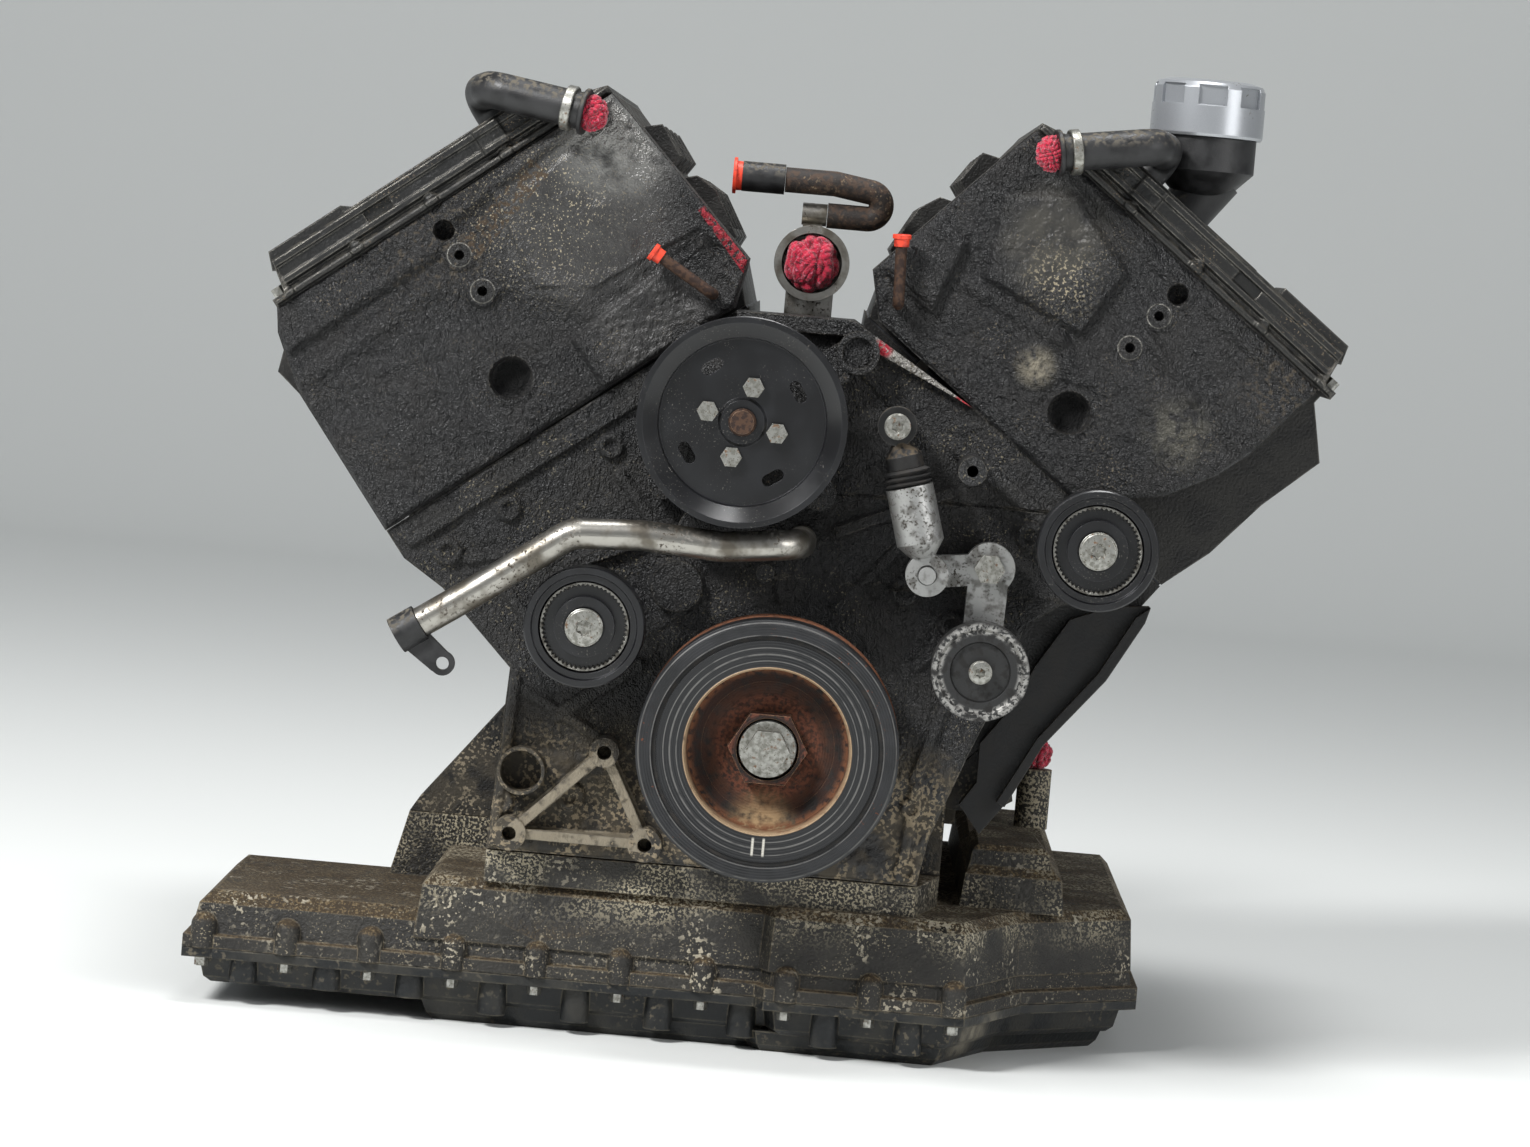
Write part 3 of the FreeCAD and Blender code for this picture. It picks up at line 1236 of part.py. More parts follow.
def vent_elbow(side):
    """Black elbow that leaves the cover top and bends forward and down into the valley."""
    return feature("Elbow", tube_path(elbow_path(side), 13.0, 14.0))


def stub_ends(side):
    """Root and tip of the thin tube that stands out of a timing cover, in the front view."""
    if side == LEFT:
        x, z = bank_point(LEFT, -135, d.deck_up + 20.5)
        return (x, z), (x - 37, z + 22)
    x, z = bank_point(RIGHT, -140, d.deck_up + 22.2)
    return (x, z), (x - 1.3, z + 39.7)


def stub_tube(side):
    (x, z), (tip_x, tip_z) = stub_ends(side)
    root = d.case_front + d.part_gap
    out = d.case_front + 21
    return feature("Stub", tube_path([(x, root, z), (x, out, z), (tip_x, out + 2, tip_z)], 4.0, 5.0))


def stub_cap(side):
    """Red cap over the tube's tip, in line with the tube."""
    (x, z), (tip_x, tip_z) = stub_ends(side)
    station = d.case_front + 23
    tip = vector(tip_x, station, tip_z)
    way = (tip - vector(x, station - 2, z)).normalize()
    gap = float(d.part_gap)
    return feature("StubCap", cone_between(tip + way * gap, tip + way * (gap + 8.6), 6.5, 6.5))


def small_pipes():
    """Two thin tubes that stand out of the timing covers, and the vent elbows."""
    stubs = [stub_tube(LEFT), stub_tube(RIGHT)]
    keep("tube_stubs", group(stubs))
    keep("vent_elbows", group([vent_elbow(LEFT), vent_elbow(RIGHT)]))


def oil_filler():
    """Filler neck on the right cover and its windowed cap, both upright."""
    foot_x, foot_z = bank_point(RIGHT, -34, d.cover_top + d.part_gap)
    x = foot_x + 10
    st = d.case_front - 60
    base = foot_z + 52.6
    axis = bank_turn(RIGHT).multVec(FreeCAD.Vector(0, 0, 1))
    foot = Part.makeCylinder(19, 34, vector(foot_x, st, foot_z), axis)
    cone = Part.makeCone(17, 36, 19, vector(x, st, base - 43), FreeCAD.Vector(0, 0, 1))
    collar = Part.makeCylinder(36, 23.7, vector(x, st, base - 24), FreeCAD.Vector(0, 0, 1))
    hollow = Part.makeCylinder(31.5, 22, vector(x, st, base - 22), FreeCAD.Vector(0, 0, 1))
    funnel = Part.makeCone(12, 30, 16, vector(x, st, base - 37.5), FreeCAD.Vector(0, 0, 1))
    keep("oil_filler_neck", feature("FillerNeck", foot.fuse([cone, collar]).cut([hollow, funnel])))
    radius = float(d.cap_radius)
    steps = [(0, base - 16), (30, base - 16), (31.2, base), (radius - 1, base), (radius, base + 2),
             (radius, base + 34), (radius - 3, base + 38), (radius - 10, base + 40), (0, base + 40)]
    corners = [FreeCAD.Vector(float(r), 0, float(up)) for r, up in steps]
    cap = Part.Face(Part.makePolygon(corners + corners[:1])).revolve(
        FreeCAD.Vector(), FreeCAD.Vector(0, 0, 1), 360)
    windows = []
    for index in range(8):
        window = Part.makeBox(20, 8, 14, FreeCAD.Vector(-10, radius - 4, float(base) + 22))
        window.rotate(FreeCAD.Vector(), FreeCAD.Vector(0, 0, 1), 45 * index)
        windows.append(window)
    cap = cap.cut(windows)
    thing = feature("oil_filler_cap", cap)
    place(thing, x, st, 0.0)
    keep("oil_filler_cap", thing)


def transit_covers():
    """Red caps on the small pipes and red rags in the open ports."""
    caps = [
        feature("HoseCap", cone_between(vector(-62, d.block_front - 20, d.outlet_z + 58),
                                        vector(-55.3, d.block_front - 20, d.outlet_z + 58), 13.0, 13.0)),
        stub_cap(LEFT),
        stub_cap(RIGHT),
    ]
    keep("transit_caps", group(caps))
    rags = [feature("OutletRag", bar_shape(0, d.block_front - 42, d.outlet_z, d.outlet_radius - 4, 45))]
    for side in (LEFT, RIGHT):
        path = elbow_path(side)
        mouth = vector(*path[-1])
        way = (mouth - vector(*path[-2])).normalize()
        rags.append(feature("ElbowRag", Part.makeSphere(9.0, mouth + way * (9.0 + float(d.part_gap)))))
    seat = STUB_BASE + STUB_HEIGHT + d.part_gap
    rags.append(feature("StubRag", Part.makeSphere(12, vector(205, 150, seat + 12))))
    keep("transit_rags", group(rags))


# Sump


def plan_prism(points, low, high):
    """A plan-view outline between two heights; corners are (x, station)."""
    return tub(points, [(low, 0.0), (high, 0.0)])


def tub(points, levels):
    """A tub whose walls pass through the outline drawn in by given amounts at given heights."""
    wires = []
    for height, by in levels:
        corners = [FreeCAD.Vector(x, -station, float(height)) for x, station in inset(points, float(by))]
        wires.append(Part.makePolygon(corners + corners[:1]))
    return Part.makeLoft(wires, True, True)


case_front = float(d.case_front)
rear = float(d.block_rear)
PAN_PLAN = [(-400, case_front + 5), (5, case_front + 5), (12, case_front + 20), (154, case_front + 20),
            (196, case_front - 73), (284, case_front - 150), (284, rear), (-170, rear), (-246, rear + 108),
            (-252, case_front - 240), (-400, case_front - 240)]
MIDDLE_PLAN = [(-240, case_front + 3), (5, case_front + 3), (12, case_front + 18), (153, case_front + 18),
               (194, case_front - 74), (280, case_front - 152), (280, rear + 4), (-168, rear + 4),
               (-238, rear + 110)]
DEEP_PLAN = [(-230, case_front - 14), (0, case_front - 14), (8, case_front - 2), (140, case_front - 2),
             (180, case_front - 90), (262, case_front - 168), (262, rear + 28), (-158, rear + 28),
             (-226, rear + 128)]
UNDER_PLAN = [(-192, case_front), (112, case_front), (130, case_front - 78), (130, rear), (-150, rear),
              (-192, case_front - 90)]
BOX_PLAN = [(146, case_front - 90), (222, case_front - 90), (222, rear + 18), (146, rear + 18)]
BOX_TOP_PLAN = [(150, case_front - 98), (212, case_front - 98), (206, case_front - 212),
                (150, case_front - 212)]
CRANK_OPENING = [(-95, case_front - 94), (95, case_front - 94), (95, rear + 16), (-95, rear + 16)]
STUB_BASE = -87.0
STUB_HEIGHT = 46.0
BOSS_COUNT = 10
BOSS_PITCH = 59.0


def boss_spots():
    """Where the flange bosses stand along the front: evenly across, following the front edge."""
    spots = []
    for index in range(BOSS_COUNT):
        x = PAN_PLAN[0][0] + 14 + index * BOSS_PITCH
        station = PAN_PLAN[0][1] if x < PAN_PLAN[1][0] else PAN_PLAN[3][1]
        if x > PAN_PLAN[3][0]:
            station = PAN_PLAN[3][1] - (x - PAN_PLAN[3][0]) * 2.2
        spots.append((x, station))
    return spots


def upper_oil_pan():
    """Wide cast sump: drafted walls with shoulders, a wing to the left, a raised box to the right."""
    flange = d.pan_flange
    wing_top = flange + 40
    step_top = flange + 65
    top = d.skirt_bottom - 0.5
    wall = d.pan_wall
    wall_levels = [(flange, 0), (flange + 9, 0), (flange + 10, 5), (wing_top - 9, 9), (wing_top, 18)]
    shape = tub(PAN_PLAN, wall_levels)
    pieces = [
        tub(MIDDLE_PLAN, [(wing_top - 20, 2), (step_top - 7, 5), (step_top, 12)]),
        plan_prism(UNDER_PLAN, step_top - 1, top),
        tub(BOX_PLAN, [(step_top - 1, 0), (step_top + 24, 3), (step_top + 31, 10)]),
        tub(BOX_TOP_PLAN, [(step_top + 24, 0), (step_top + 41, 3), (step_top + 45, 7)]),
        Part.makeCylinder(13, STUB_HEIGHT, vector(205, 150, STUB_BASE), FreeCAD.Vector(0, 0, 1)),
        prism_shape([(-274, wing_top - 2), (-270, wing_top + 14), (-262, d.flare_foot - d.part_gap),
                     (-190, d.flare_foot - d.part_gap), (-190, wing_top - 2)], d.block_front - 152, 44),
    ]
    for x, station in boss_spots():
        pieces.append(Part.makeCylinder(9, 16, vector(x, station - 4.5, flange), FreeCAD.Vector(0, 0, 1)))
        pieces.append(Part.makeSphere(9, vector(x, station - 4.5, flange + 16)))
    shape = shape.fuse(pieces)
    tools = [
        tub(PAN_PLAN, [(flange - 1, 9), (flange + 9, wall + 6), (wing_top - wall, wall + 12)]),
        tub(MIDDLE_PLAN, [(wing_top - wall - 1, wall + 12), (step_top - wall, wall + 12)]),
        plan_prism(CRANK_OPENING, step_top - wall - 1, top + 1),
    ]
    keep("upper_oil_pan", feature("UpperPan", shape.cut(tools)))


def lower_oil_pan():
    """Sump tray: a flange, drafted walls, a deep part under the engine, and ribs along its front."""
    flange = float(d.pan_flange)
    bottom = float(d.pan_bottom)
    wall = float(d.tray_wall)
    shape = tub(PAN_PLAN, [(flange - 7, 0), (flange - 0.3, 0)])
    pieces = [
        tub(PAN_PLAN, [(flange - 6, 11), (flange - 22, 15), (flange - 26, 20)]),
        tub(DEEP_PLAN, [(flange - 25, 0), (bottom + 5, 4), (bottom, 9)]),
    ]
    spots = boss_spots()
    for (x1, station1), (x2, station2) in zip(spots, spots[1:]):
        x, station = (x1 + x2) / 2, min(station1, station2)
        low = flange - 24 if x < DEEP_PLAN[0][0] + 10 else flange - 31
        pieces.append(Part.makeCylinder(10, flange - 6 - low, FreeCAD.Vector(x, -(station - 15), low),
                                        FreeCAD.Vector(0, 0, 1)))
    shape = shape.fuse(pieces)
    tools = [
        tub(PAN_PLAN, [(flange + 1, 17), (flange - 26 + wall, 21)]),
        tub(DEEP_PLAN, [(flange - 26 + wall + 1, wall + 2), (bottom + wall, wall + 6)]),
    ]
    keep("lower_oil_pan", feature("LowerPan", shape.cut(tools)))


def pan_bolts():
    """Hexagon bolts under the sump flange along the front, one below each boss."""
    bolts = []
    for x, station in boss_spots():
        hexa = doc.addObject("Part::Prism", "PanBolt")
        hexa.Polygon = 6
        hexa.Circumradius = 5.0
        hexa.Height = 6
        low = float(d.pan_flange) - 7 - 6.0
        hexa.Placement = FreeCAD.Placement(vector(x, station - 5.6, low), FreeCAD.Rotation())
        bolts.append(hexa)
    return bolts


def cover_bolts():
    """Small hexagon bolts along the outer flange of both cam covers."""
    bolts = []
    for side in (LEFT, RIGHT):
        for index in range(6):
            x, z = bank_point(side, 122.8, d.head_top + 6)
            hexa = doc.addObject("Part::Prism", "CoverBolt")
            hexa.Polygon = 6
            hexa.Circumradius = 4.6
            hexa.Height = 7
            hexa.Placement = FreeCAD.Placement(vector(x, 40 + index * 94, z), bank_turn(side))
            bolts.append(hexa)
    return bolts


def oil_pump():
    """Oil pump under the front main bearing, with a pick-up that reaches the deep floor."""
    end = d.block_front
    floor = d.pan_bottom
    case = Part.makeBox(90, 44, 44, vector(-45, end - 42, -140))
    bracket = Part.makeBox(50, 24, 12, vector(-25, end - 22, -104))
    stand = Part.makeBox(50, 15, 38, vector(-25, end - 22, -100))
    pick = tube_path([(0, end - 80, -120), (0, end - 112, -120), (0, end - 152, floor + 52),
                      (0, end - 152, floor + 22)], 11.0, 16.0)
    bell = Part.makeCylinder(34, 10, vector(0, end - 152, floor + 14), FreeCAD.Vector(0, 0, 1))
    keep("oil_pump", feature("OilPump", case.fuse([bracket, stand, pick, bell])))


def side_bracket():
    """Curved arm beside the right bank, bolted to the front of the block."""
    outer_points = [(262, 112), (259, 101), (235, 57.5), (195, 8), (171, -39), (155, -61), (139, -41),
                    (150, -24), (150, 4), (172, 34), (184, 62), (206, 98), (236, 110)]
    shape = prism_shape(outer_points, d.block_front + 0.2, 14)
    rib = [(262, 112), (259, 101), (235, 57.5), (195, 8), (171, -39), (165, -36), (190, 12), (229, 62),
           (252, 104)]
    shape = shape.fuse(prism_shape(rib, d.block_front + 13, 12))
    keep("side_bracket", feature("SideBracket", shape))


def build():
    cylinder_block()
    crank_drive()
    head(LEFT, "head_left")
    head(RIGHT, "head_right")
    head_gaskets()
    for side, name in ((LEFT, "left"), (RIGHT, "right")):
        camshaft(side, -d.cam_out, f"camshaft_{name}_inner", True)
        camshaft(side, d.cam_out, f"camshaft_{name}_outer", False)
        cam_cover(side, f"cam_cover_{name}")
        timing_cover(side, f"timing_cover_{name}")
    keep("bearing_caps", group(main_bearing_caps() + cam_caps()))
    timing_case()
    chain_drive()
    crank_pulley()
    water_pump()
    keep("belt_drive_bolts", group(idler_set() + [tensioner(), strut()]))
    ends = coolant_parts()
    keep("hose_ends", group(ends))
    small_pipes()
    oil_filler()
    transit_covers()
    upper_oil_pan()
    lower_oil_pan()
    keep("flange_bolts", group(pan_bolts() + cover_bolts()))
    oil_pump()
    side_bracket()


def write_parts():
    """Check every object, then write one file for each sub-part."""
    doc.recompute()
    faults = [o.Name for o in doc.Objects if {"Invalid", "Error"} & set(o.State)]
    if faults:
        raise ValueError(f"these objects failed: {faults}")
    for label, thing in nodes.items():
        if thing.Shape.isNull() or not thing.Shape.isValid():
            raise ValueError(f"{label} has no valid shape")
    os.makedirs("parts", exist_ok=True)
    for label, thing in nodes.items():
        thing.Shape.exportStep(f"parts/{label}.step")


build()
write_parts()
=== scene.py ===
"""Looks of a V8 engine taken out of a car: oily cast aluminium, pulleys, pipes, plugs and rags."""

import math

import bmesh
import bpy
import numpy as np
from mathutils import Matrix, Vector


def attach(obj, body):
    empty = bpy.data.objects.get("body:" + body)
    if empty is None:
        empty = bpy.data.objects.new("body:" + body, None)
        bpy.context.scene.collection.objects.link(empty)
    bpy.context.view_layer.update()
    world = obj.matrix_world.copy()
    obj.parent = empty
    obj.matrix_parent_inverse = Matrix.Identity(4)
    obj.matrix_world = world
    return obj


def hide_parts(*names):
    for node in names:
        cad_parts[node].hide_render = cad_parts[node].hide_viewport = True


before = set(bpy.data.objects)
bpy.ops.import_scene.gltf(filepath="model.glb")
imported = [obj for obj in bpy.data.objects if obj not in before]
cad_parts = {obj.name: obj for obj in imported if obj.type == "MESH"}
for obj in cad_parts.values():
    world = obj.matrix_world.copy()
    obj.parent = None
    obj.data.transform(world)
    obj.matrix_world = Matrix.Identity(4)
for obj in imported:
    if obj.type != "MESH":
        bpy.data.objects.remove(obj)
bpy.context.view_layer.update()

bl_info = {
    "name": "V8 engine looks",
    "version": (1, 0, 0),
    "blender": (4, 5, 0),
    "location": "View3D > Sidebar > Engine",
    "description": "Dresses the modelled engine with its finishes and its fine surfaces",
    "category": "Object",
}

MM = 0.001
LEFT = -1
RIGHT = 1

# Places in millimetres, as the model has them: x to the right, station towards the front, z up
CASE_FRONT = 530.0
DAMPER_FACE = 625.0
BANK_HALF_ANGLE = math.radians(37.5)
DECK = 268.5
COVER_JOINT = 441.0
COVER_TOP = 472.0
OUTLET_HEIGHT = 335.0
IDLER_FRONT = 600.0
IDLER_LEFT = (-133.5, 72.2)
IDLER_RIGHT = (214.66, 155.57)
ROLLER = (141.4, 65.3)
STRUT_TOP = (69.7, 228.9)
STRUT_BOLT_FACE = 597.3
ROLLER_BOLT_FACE = 603.3
PLUG_UP = 311.0
PLUG_OUT = {LEFT: 16.0, RIGHT: 0.0}
BREATHER_UP = 423.0
BOSS_UPS = (403.0, 373.0)
RAIL = ((48, 284), (118, 246), 8.5)
HOSE_MOUTH = (-55.6, -432.0, OUTLET_HEIGHT + 58)
OUTLET_MOUTH = (0.0, -448.5, OUTLET_HEIGHT)
SUMP_STUB = (205.0, -150.0, -28.7)
IDLER_TEETH = 56


def linear(colour):
    """Turn an sRGB hex text such as 8a5a3c into a linear colour with alpha."""
    parts = [int(colour[i:i + 2], 16) / 255 for i in (0, 2, 4)]
    return tuple(p / 12.92 if p <= 0.04045 else ((p + 0.055) / 1.055) ** 2.4 for p in parts) + (1.0,)


class EngineFinish(bpy.types.PropertyGroup):
    """Sizes and colours of the finishes that a user would change."""

    wrinkle: bpy.props.FloatProperty(
        name="Wrinkle size", description="Spacing of the wrinkles in the baked-on oil, in millimetres",
        default=2.6, min=0.5, max=10.0)
    grime: bpy.props.StringProperty(
        name="Grime", description="Colour of the baked-on oil, sRGB hex", default="1b1b1c")
    alloy: bpy.props.StringProperty(
        name="Alloy", description="Colour of bare alloy on worn edges, sRGB hex", default="85827c")
    dust: bpy.props.StringProperty(
        name="Dust", description="Colour of road dust, sRGB hex", default="6e6150")
    salt: bpy.props.StringProperty(
        name="Salt", description="Colour of white corrosion, sRGB hex", default="a8a08e")
    rust: bpy.props.StringProperty(
        name="Rust", description="Colour of rust, sRGB hex", default="6a3a22")
    rag: bpy.props.StringProperty(
        name="Rag", description="Colour of the rags, sRGB hex", default="c2123a")
    cap: bpy.props.StringProperty(
        name="Plug", description="Colour of the plastic transit plugs, sRGB hex", default="e2452c")


class StageSizes(bpy.types.PropertyGroup):
    """Camera and backdrop of the stage."""

    distance: bpy.props.FloatProperty(
        name="Distance", description="From the camera to the pulley plane", default=3.562, unit="LENGTH")
    lens: bpy.props.FloatProperty(name="Lens", description="Focal length in millimetres", default=122.35)
    backdrop: bpy.props.StringProperty(
        name="Backdrop", description="Colour of floor and backdrop, sRGB hex", default="e9ebe9")


class Finish:
    """A surface built up in coats. Each coat has a mask, a colour, a roughness and a share of metal."""

    def __init__(self, name, colour, roughness, metallic=0.0, round_edge=1.2):
        self.material = bpy.data.materials.new(name)
        self.material.use_nodes = True
        self.tree = self.material.node_tree
        self.tree.nodes.clear()
        where = self.add("ShaderNodeTexCoord").outputs["Object"]
        self.place = self.add("ShaderNodeMapping", {"Vector": where, "Scale": (1 / MM,) * 3}).outputs[0]
        self.facing = self.add("ShaderNodeNewGeometry").outputs["Normal"]
        self.normal = None
        if round_edge:
            self.normal = self.add("ShaderNodeBevel", {"Radius": round_edge * MM}, samples=3).outputs[0]
        self.colour = linear(colour)
        self.roughness = roughness
        self.metallic = metallic

    def add(self, kind, inputs=None, **settings):
        """Add a node, set it up, and give its inputs a value or a link each."""
        made = self.tree.nodes.new(kind)
        for key, value in settings.items():
            setattr(made, key, value)
        for key, value in (inputs or {}).items():
            if isinstance(value, bpy.types.NodeSocket):
                self.tree.links.new(value, made.inputs[key])
            else:
                made.inputs[key].default_value = value
        return made

    def step(self, value, low, high):
        """A smooth rise from 0 at low to 1 at high."""
        limits = {"Value": value, "From Min": low, "From Max": high, "To Min": 0.0, "To Max": 1.0}
        return self.add("ShaderNodeMapRange", limits, interpolation_type="SMOOTHSTEP").outputs[0]

    def both(self, first, second):
        """Where both masks hold: their product."""
        return self.add("ShaderNodeMath", {0: first, 1: second}, operation="MULTIPLY").outputs[0]

    def cloud(self, size, detail=2.0, twist=0.0, stretch=(1, 1, 1)):
        """Random values about 0.5 with lumps of a size in millimetres."""
        place = self.add("ShaderNodeMapping", {"Vector": self.place, "Scale": stretch}).outputs[0]
        grain = {"Vector": place, "Scale": 1 / size, "Detail": detail, "Distortion": twist}
        return self.add("ShaderNodeTexNoise", grain).outputs["Fac"]

    def blotches(self, size, share, soft=0.05, detail=3.0):
        """A mask that covers about this share of the surface with blotches of a size in millimetres."""
        edge = 0.72 - 0.44 * share
        return self.step(self.cloud(size, detail), edge - soft, edge + soft)

    def near(self, centre, inner, outer):
        """A mask of 1 within inner millimetres of a place (x, y, z), falling to 0 at outer."""
        away = self.add("ShaderNodeVectorMath", {0: self.place, 1: centre}, operation="DISTANCE")
        return self.step(away.outputs["Value"], outer, inner)

    def upward(self, low=0.25, high=0.8):
        """A mask of the surfaces that face up, where dust settles."""
        return self.step(self.add("ShaderNodeSeparateXYZ", {0: self.facing}).outputs[2], low, high)

    def worn_edges(self, low=0.01, high=0.12):
        """A mask of sharp edges: where the rounded normal leaves the true one."""
        dot = self.add("ShaderNodeVectorMath", {0: self.normal, 1: self.facing}, operation="DOT_PRODUCT")
        return self.step(dot.outputs["Value"], 1 - low, 1 - high)

    def away(self, x, z):
        """Distance from an axis along Y, in millimetres."""
        flat = self.add("ShaderNodeVectorMath", {0: self.place, 1: (-x, 0, -z)}).outputs[0]
        flat = self.add("ShaderNodeVectorMath", {0: flat, 1: (1, 0, 1)}, operation="MULTIPLY").outputs[0]
        return self.add("ShaderNodeVectorMath", {0: flat}, operation="LENGTH").outputs["Value"]

    def within(self, value, width, full):
        """A mask of 1 where a value is at most full from 0, falling to 0 at width."""
        size = self.add("ShaderNodeMath", {0: value}, operation="ABSOLUTE").outputs[0]
        return self.step(size, width, full)

    def ring(self, x, z, radius, width):
        """A mask of a ring about an axis along Y, in millimetres."""
        off = self.add("ShaderNodeMath", {0: self.away(x, z), 1: radius}, operation="SUBTRACT")
        return self.within(off.outputs[0], width, width * 0.4)

    def strip(self, first, last, width):
        """A mask of a straight strip between two front-view places (x, z), so wide each side."""
        run = Vector((last[0] - first[0], 0, last[1] - first[1]))
        along = run.normalized()
        start = (-first[0], 0, -first[1])
        rest = self.add("ShaderNodeVectorMath", {0: self.place, 1: start}).outputs[0]
        reach, off = (self.add("ShaderNodeVectorMath", {0: rest, 1: way}, operation="DOT_PRODUCT")
                      .outputs["Value"] for way in (along, Vector((-along.z, 0, along.x))))
        ends = self.both(self.step(reach, -1, 1), self.step(reach, run.length + 1, run.length - 1))
        return self.both(ends, self.within(off, width, width - 0.8))

    def level(self, axis, low, high):
        """A mask that rises from low to high along one axis: 0 across, 1 front to back, 2 up."""
        value = self.add("ShaderNodeSeparateXYZ", {0: self.place}).outputs[axis]
        return self.step(value, low, high)

    def coat(self, mask, colour=None, roughness=None, metallic=None):
        """Lay a coat over what is there, where the mask, or both masks of a pair, says. A Mix node has
        its colours at inputs 6 and 7 and output 2, its numbers at inputs 2 and 3 and output 0."""
        if isinstance(mask, tuple):
            mask = self.both(*mask)
        if colour is not None:
            layers = {"Factor": mask, 6: self.colour, 7: linear(colour)}
            self.colour = self.add("ShaderNodeMix", layers, data_type="RGBA").outputs[2]
        if roughness is not None:
            layers = {"Factor": mask, 2: self.roughness, 3: roughness}
            self.roughness = self.add("ShaderNodeMix", layers).outputs[0]
        if metallic is not None:
            layers = {"Factor": mask, 2: self.metallic, 3: metallic}
            self.metallic = self.add("ShaderNodeMix", layers).outputs[0]

    def relief(self, height, depth, strength=1.0):
        """Raise the surface by a height map whose full range is this many millimetres."""
        inputs = {"Height": height, "Distance": depth * MM, "Strength": strength}
        if self.normal is not None:
            inputs["Normal"] = self.normal
        self.normal = self.add("ShaderNodeBump", inputs).outputs[0]

    def done(self, **constants):
        inputs = {"Base Color": self.colour, "Roughness": self.roughness, "Metallic": self.metallic}
        if self.normal is not None:
            inputs["Normal"] = self.normal
        inputs.update({key.replace("_", " "): value for key, value in constants.items()})
        shader = self.add("ShaderNodeBsdfPrincipled", inputs)
        self.add("ShaderNodeOutputMaterial", {"Surface": shader.outputs[0]})
        return self.material


def look():
    return bpy.context.scene.engine_finish


def bank_place(side, out, up):
    """The front-view place (x, z) of a point of a bank, in millimetres."""
    lean, lift = math.sin(BANK_HALF_ANGLE), math.cos(BANK_HALF_ANGLE)
    return side * (lean * up + lift * out), lift * up - lean * out


def front_place(side, out, up, station=CASE_FRONT):
    x, z = bank_place(side, out, up)
    return (x, -station, z)


def oil_skin(f, smooth=None):
    """The wrinkles of baked-on oil: leathery folds with a finer grain on them, over broad low lumps."""
    size = look().wrinkle
    coarse = f.cloud(size, 2.0, 0.9, (1.0, 1.0, 0.62))
    grain = {0: f.cloud(size * 0.42, 1.0), 1: 0.45, 2: coarse}
    height = f.add("ShaderNodeMath", grain, operation="MULTIPLY_ADD").outputs[0]
    if smooth is not None:
        rough = f.add("ShaderNodeMath", {0: smooth, 1: -0.82, 2: 1.0}, operation="MULTIPLY_ADD")
        height = f.both(height, rough.outputs[0])
    f.relief(height, 3.0)
    f.relief(f.cloud(13, 1.0), 2.4, 0.8)


def oily_cast():
    """Sand cast alloy under baked-on oil: near black, wrinkled, with small sharp glints."""
    f = Finish("oily_cast_alloy", look().grime, 0.34, 0.1, round_edge=1.5)
    f.coat(f.blotches(38, 0.45, 0.16), "201f1e", 0.46)
    f.coat((f.blotches(2.4, 0.14, 0.04), f.blotches(50, 0.3, 0.08)), look().dust, 0.85, 0.0)
    f.coat((f.upward(0.35, 0.9), f.blotches(7, 0.5, 0.1)), "3d362c", 0.9, 0.0)
    f.coat((f.worn_edges(), f.blotches(12, 0.5, 0.1)), "55524d", 0.42, 0.6)
    oil_skin(f)
    return f.done()


def case_cast():
    """Block front: oil-black casting, a machined rail by the right bank, and grey-brown corroded
    alloy low down, where the oil never reached."""
    f = Finish("timing_case_alloy", look().grime, 0.36, 0.1, round_edge=1.5)
    f.coat(f.blotches(34, 0.45, 0.16), "232221", 0.5)
    f.coat((f.level(0, -40, -90), f.level(2, 30, -20)), "2f2c27", 0.6, 0.2)
    f.coat((f.level(2, 20, -30), f.blotches(16, 0.5, 0.12)), "423c32", 0.75, 0.1)
    f.coat((f.both(f.level(2, 10, -40), f.blotches(3.2, 0.4, 0.05)), f.blotches(26, 0.6, 0.1)),
           "8a7d67", 0.9, 0.0)
    ribs = (((-176, -80), (-80, -80)), ((-80, -80), (-114, -18)), ((-114, -18), (-176, -80)))
    for first, last in ribs:
        f.coat((f.strip(first, last, 5.2), f.blotches(9, 0.7, 0.12)), "8b8271", 0.6, 0.4)
    f.coat((f.strip(*RAIL), f.level(1, -537, -539)), "9a9792", 0.38, 0.85)
    f.coat((f.strip(*RAIL), f.blotches(3, 0.3, 0.05)), "4a453d", 0.7, 0.2)
    f.coat((f.near((55, -541, 280), 4, 9), f.blotches(3, 0.7, 0.06)), "a5142b", 0.7, 0.0)
    f.coat((f.near((114, -541, 247), 4, 8), f.blotches(3, 0.75, 0.06)), "c01c30", 0.7, 0.0)
    f.coat((f.blotches(1.9, 0.12, 0.03, 1.0), f.blotches(40, 0.35, 0.08)), "77705f", 0.85, 0.0)
    f.coat((f.worn_edges(), f.blotches(10, 0.55, 0.1)), "6a665e", 0.42, 0.6)
    oil_skin(f, f.level(2, 10, -40))
    return f.done()


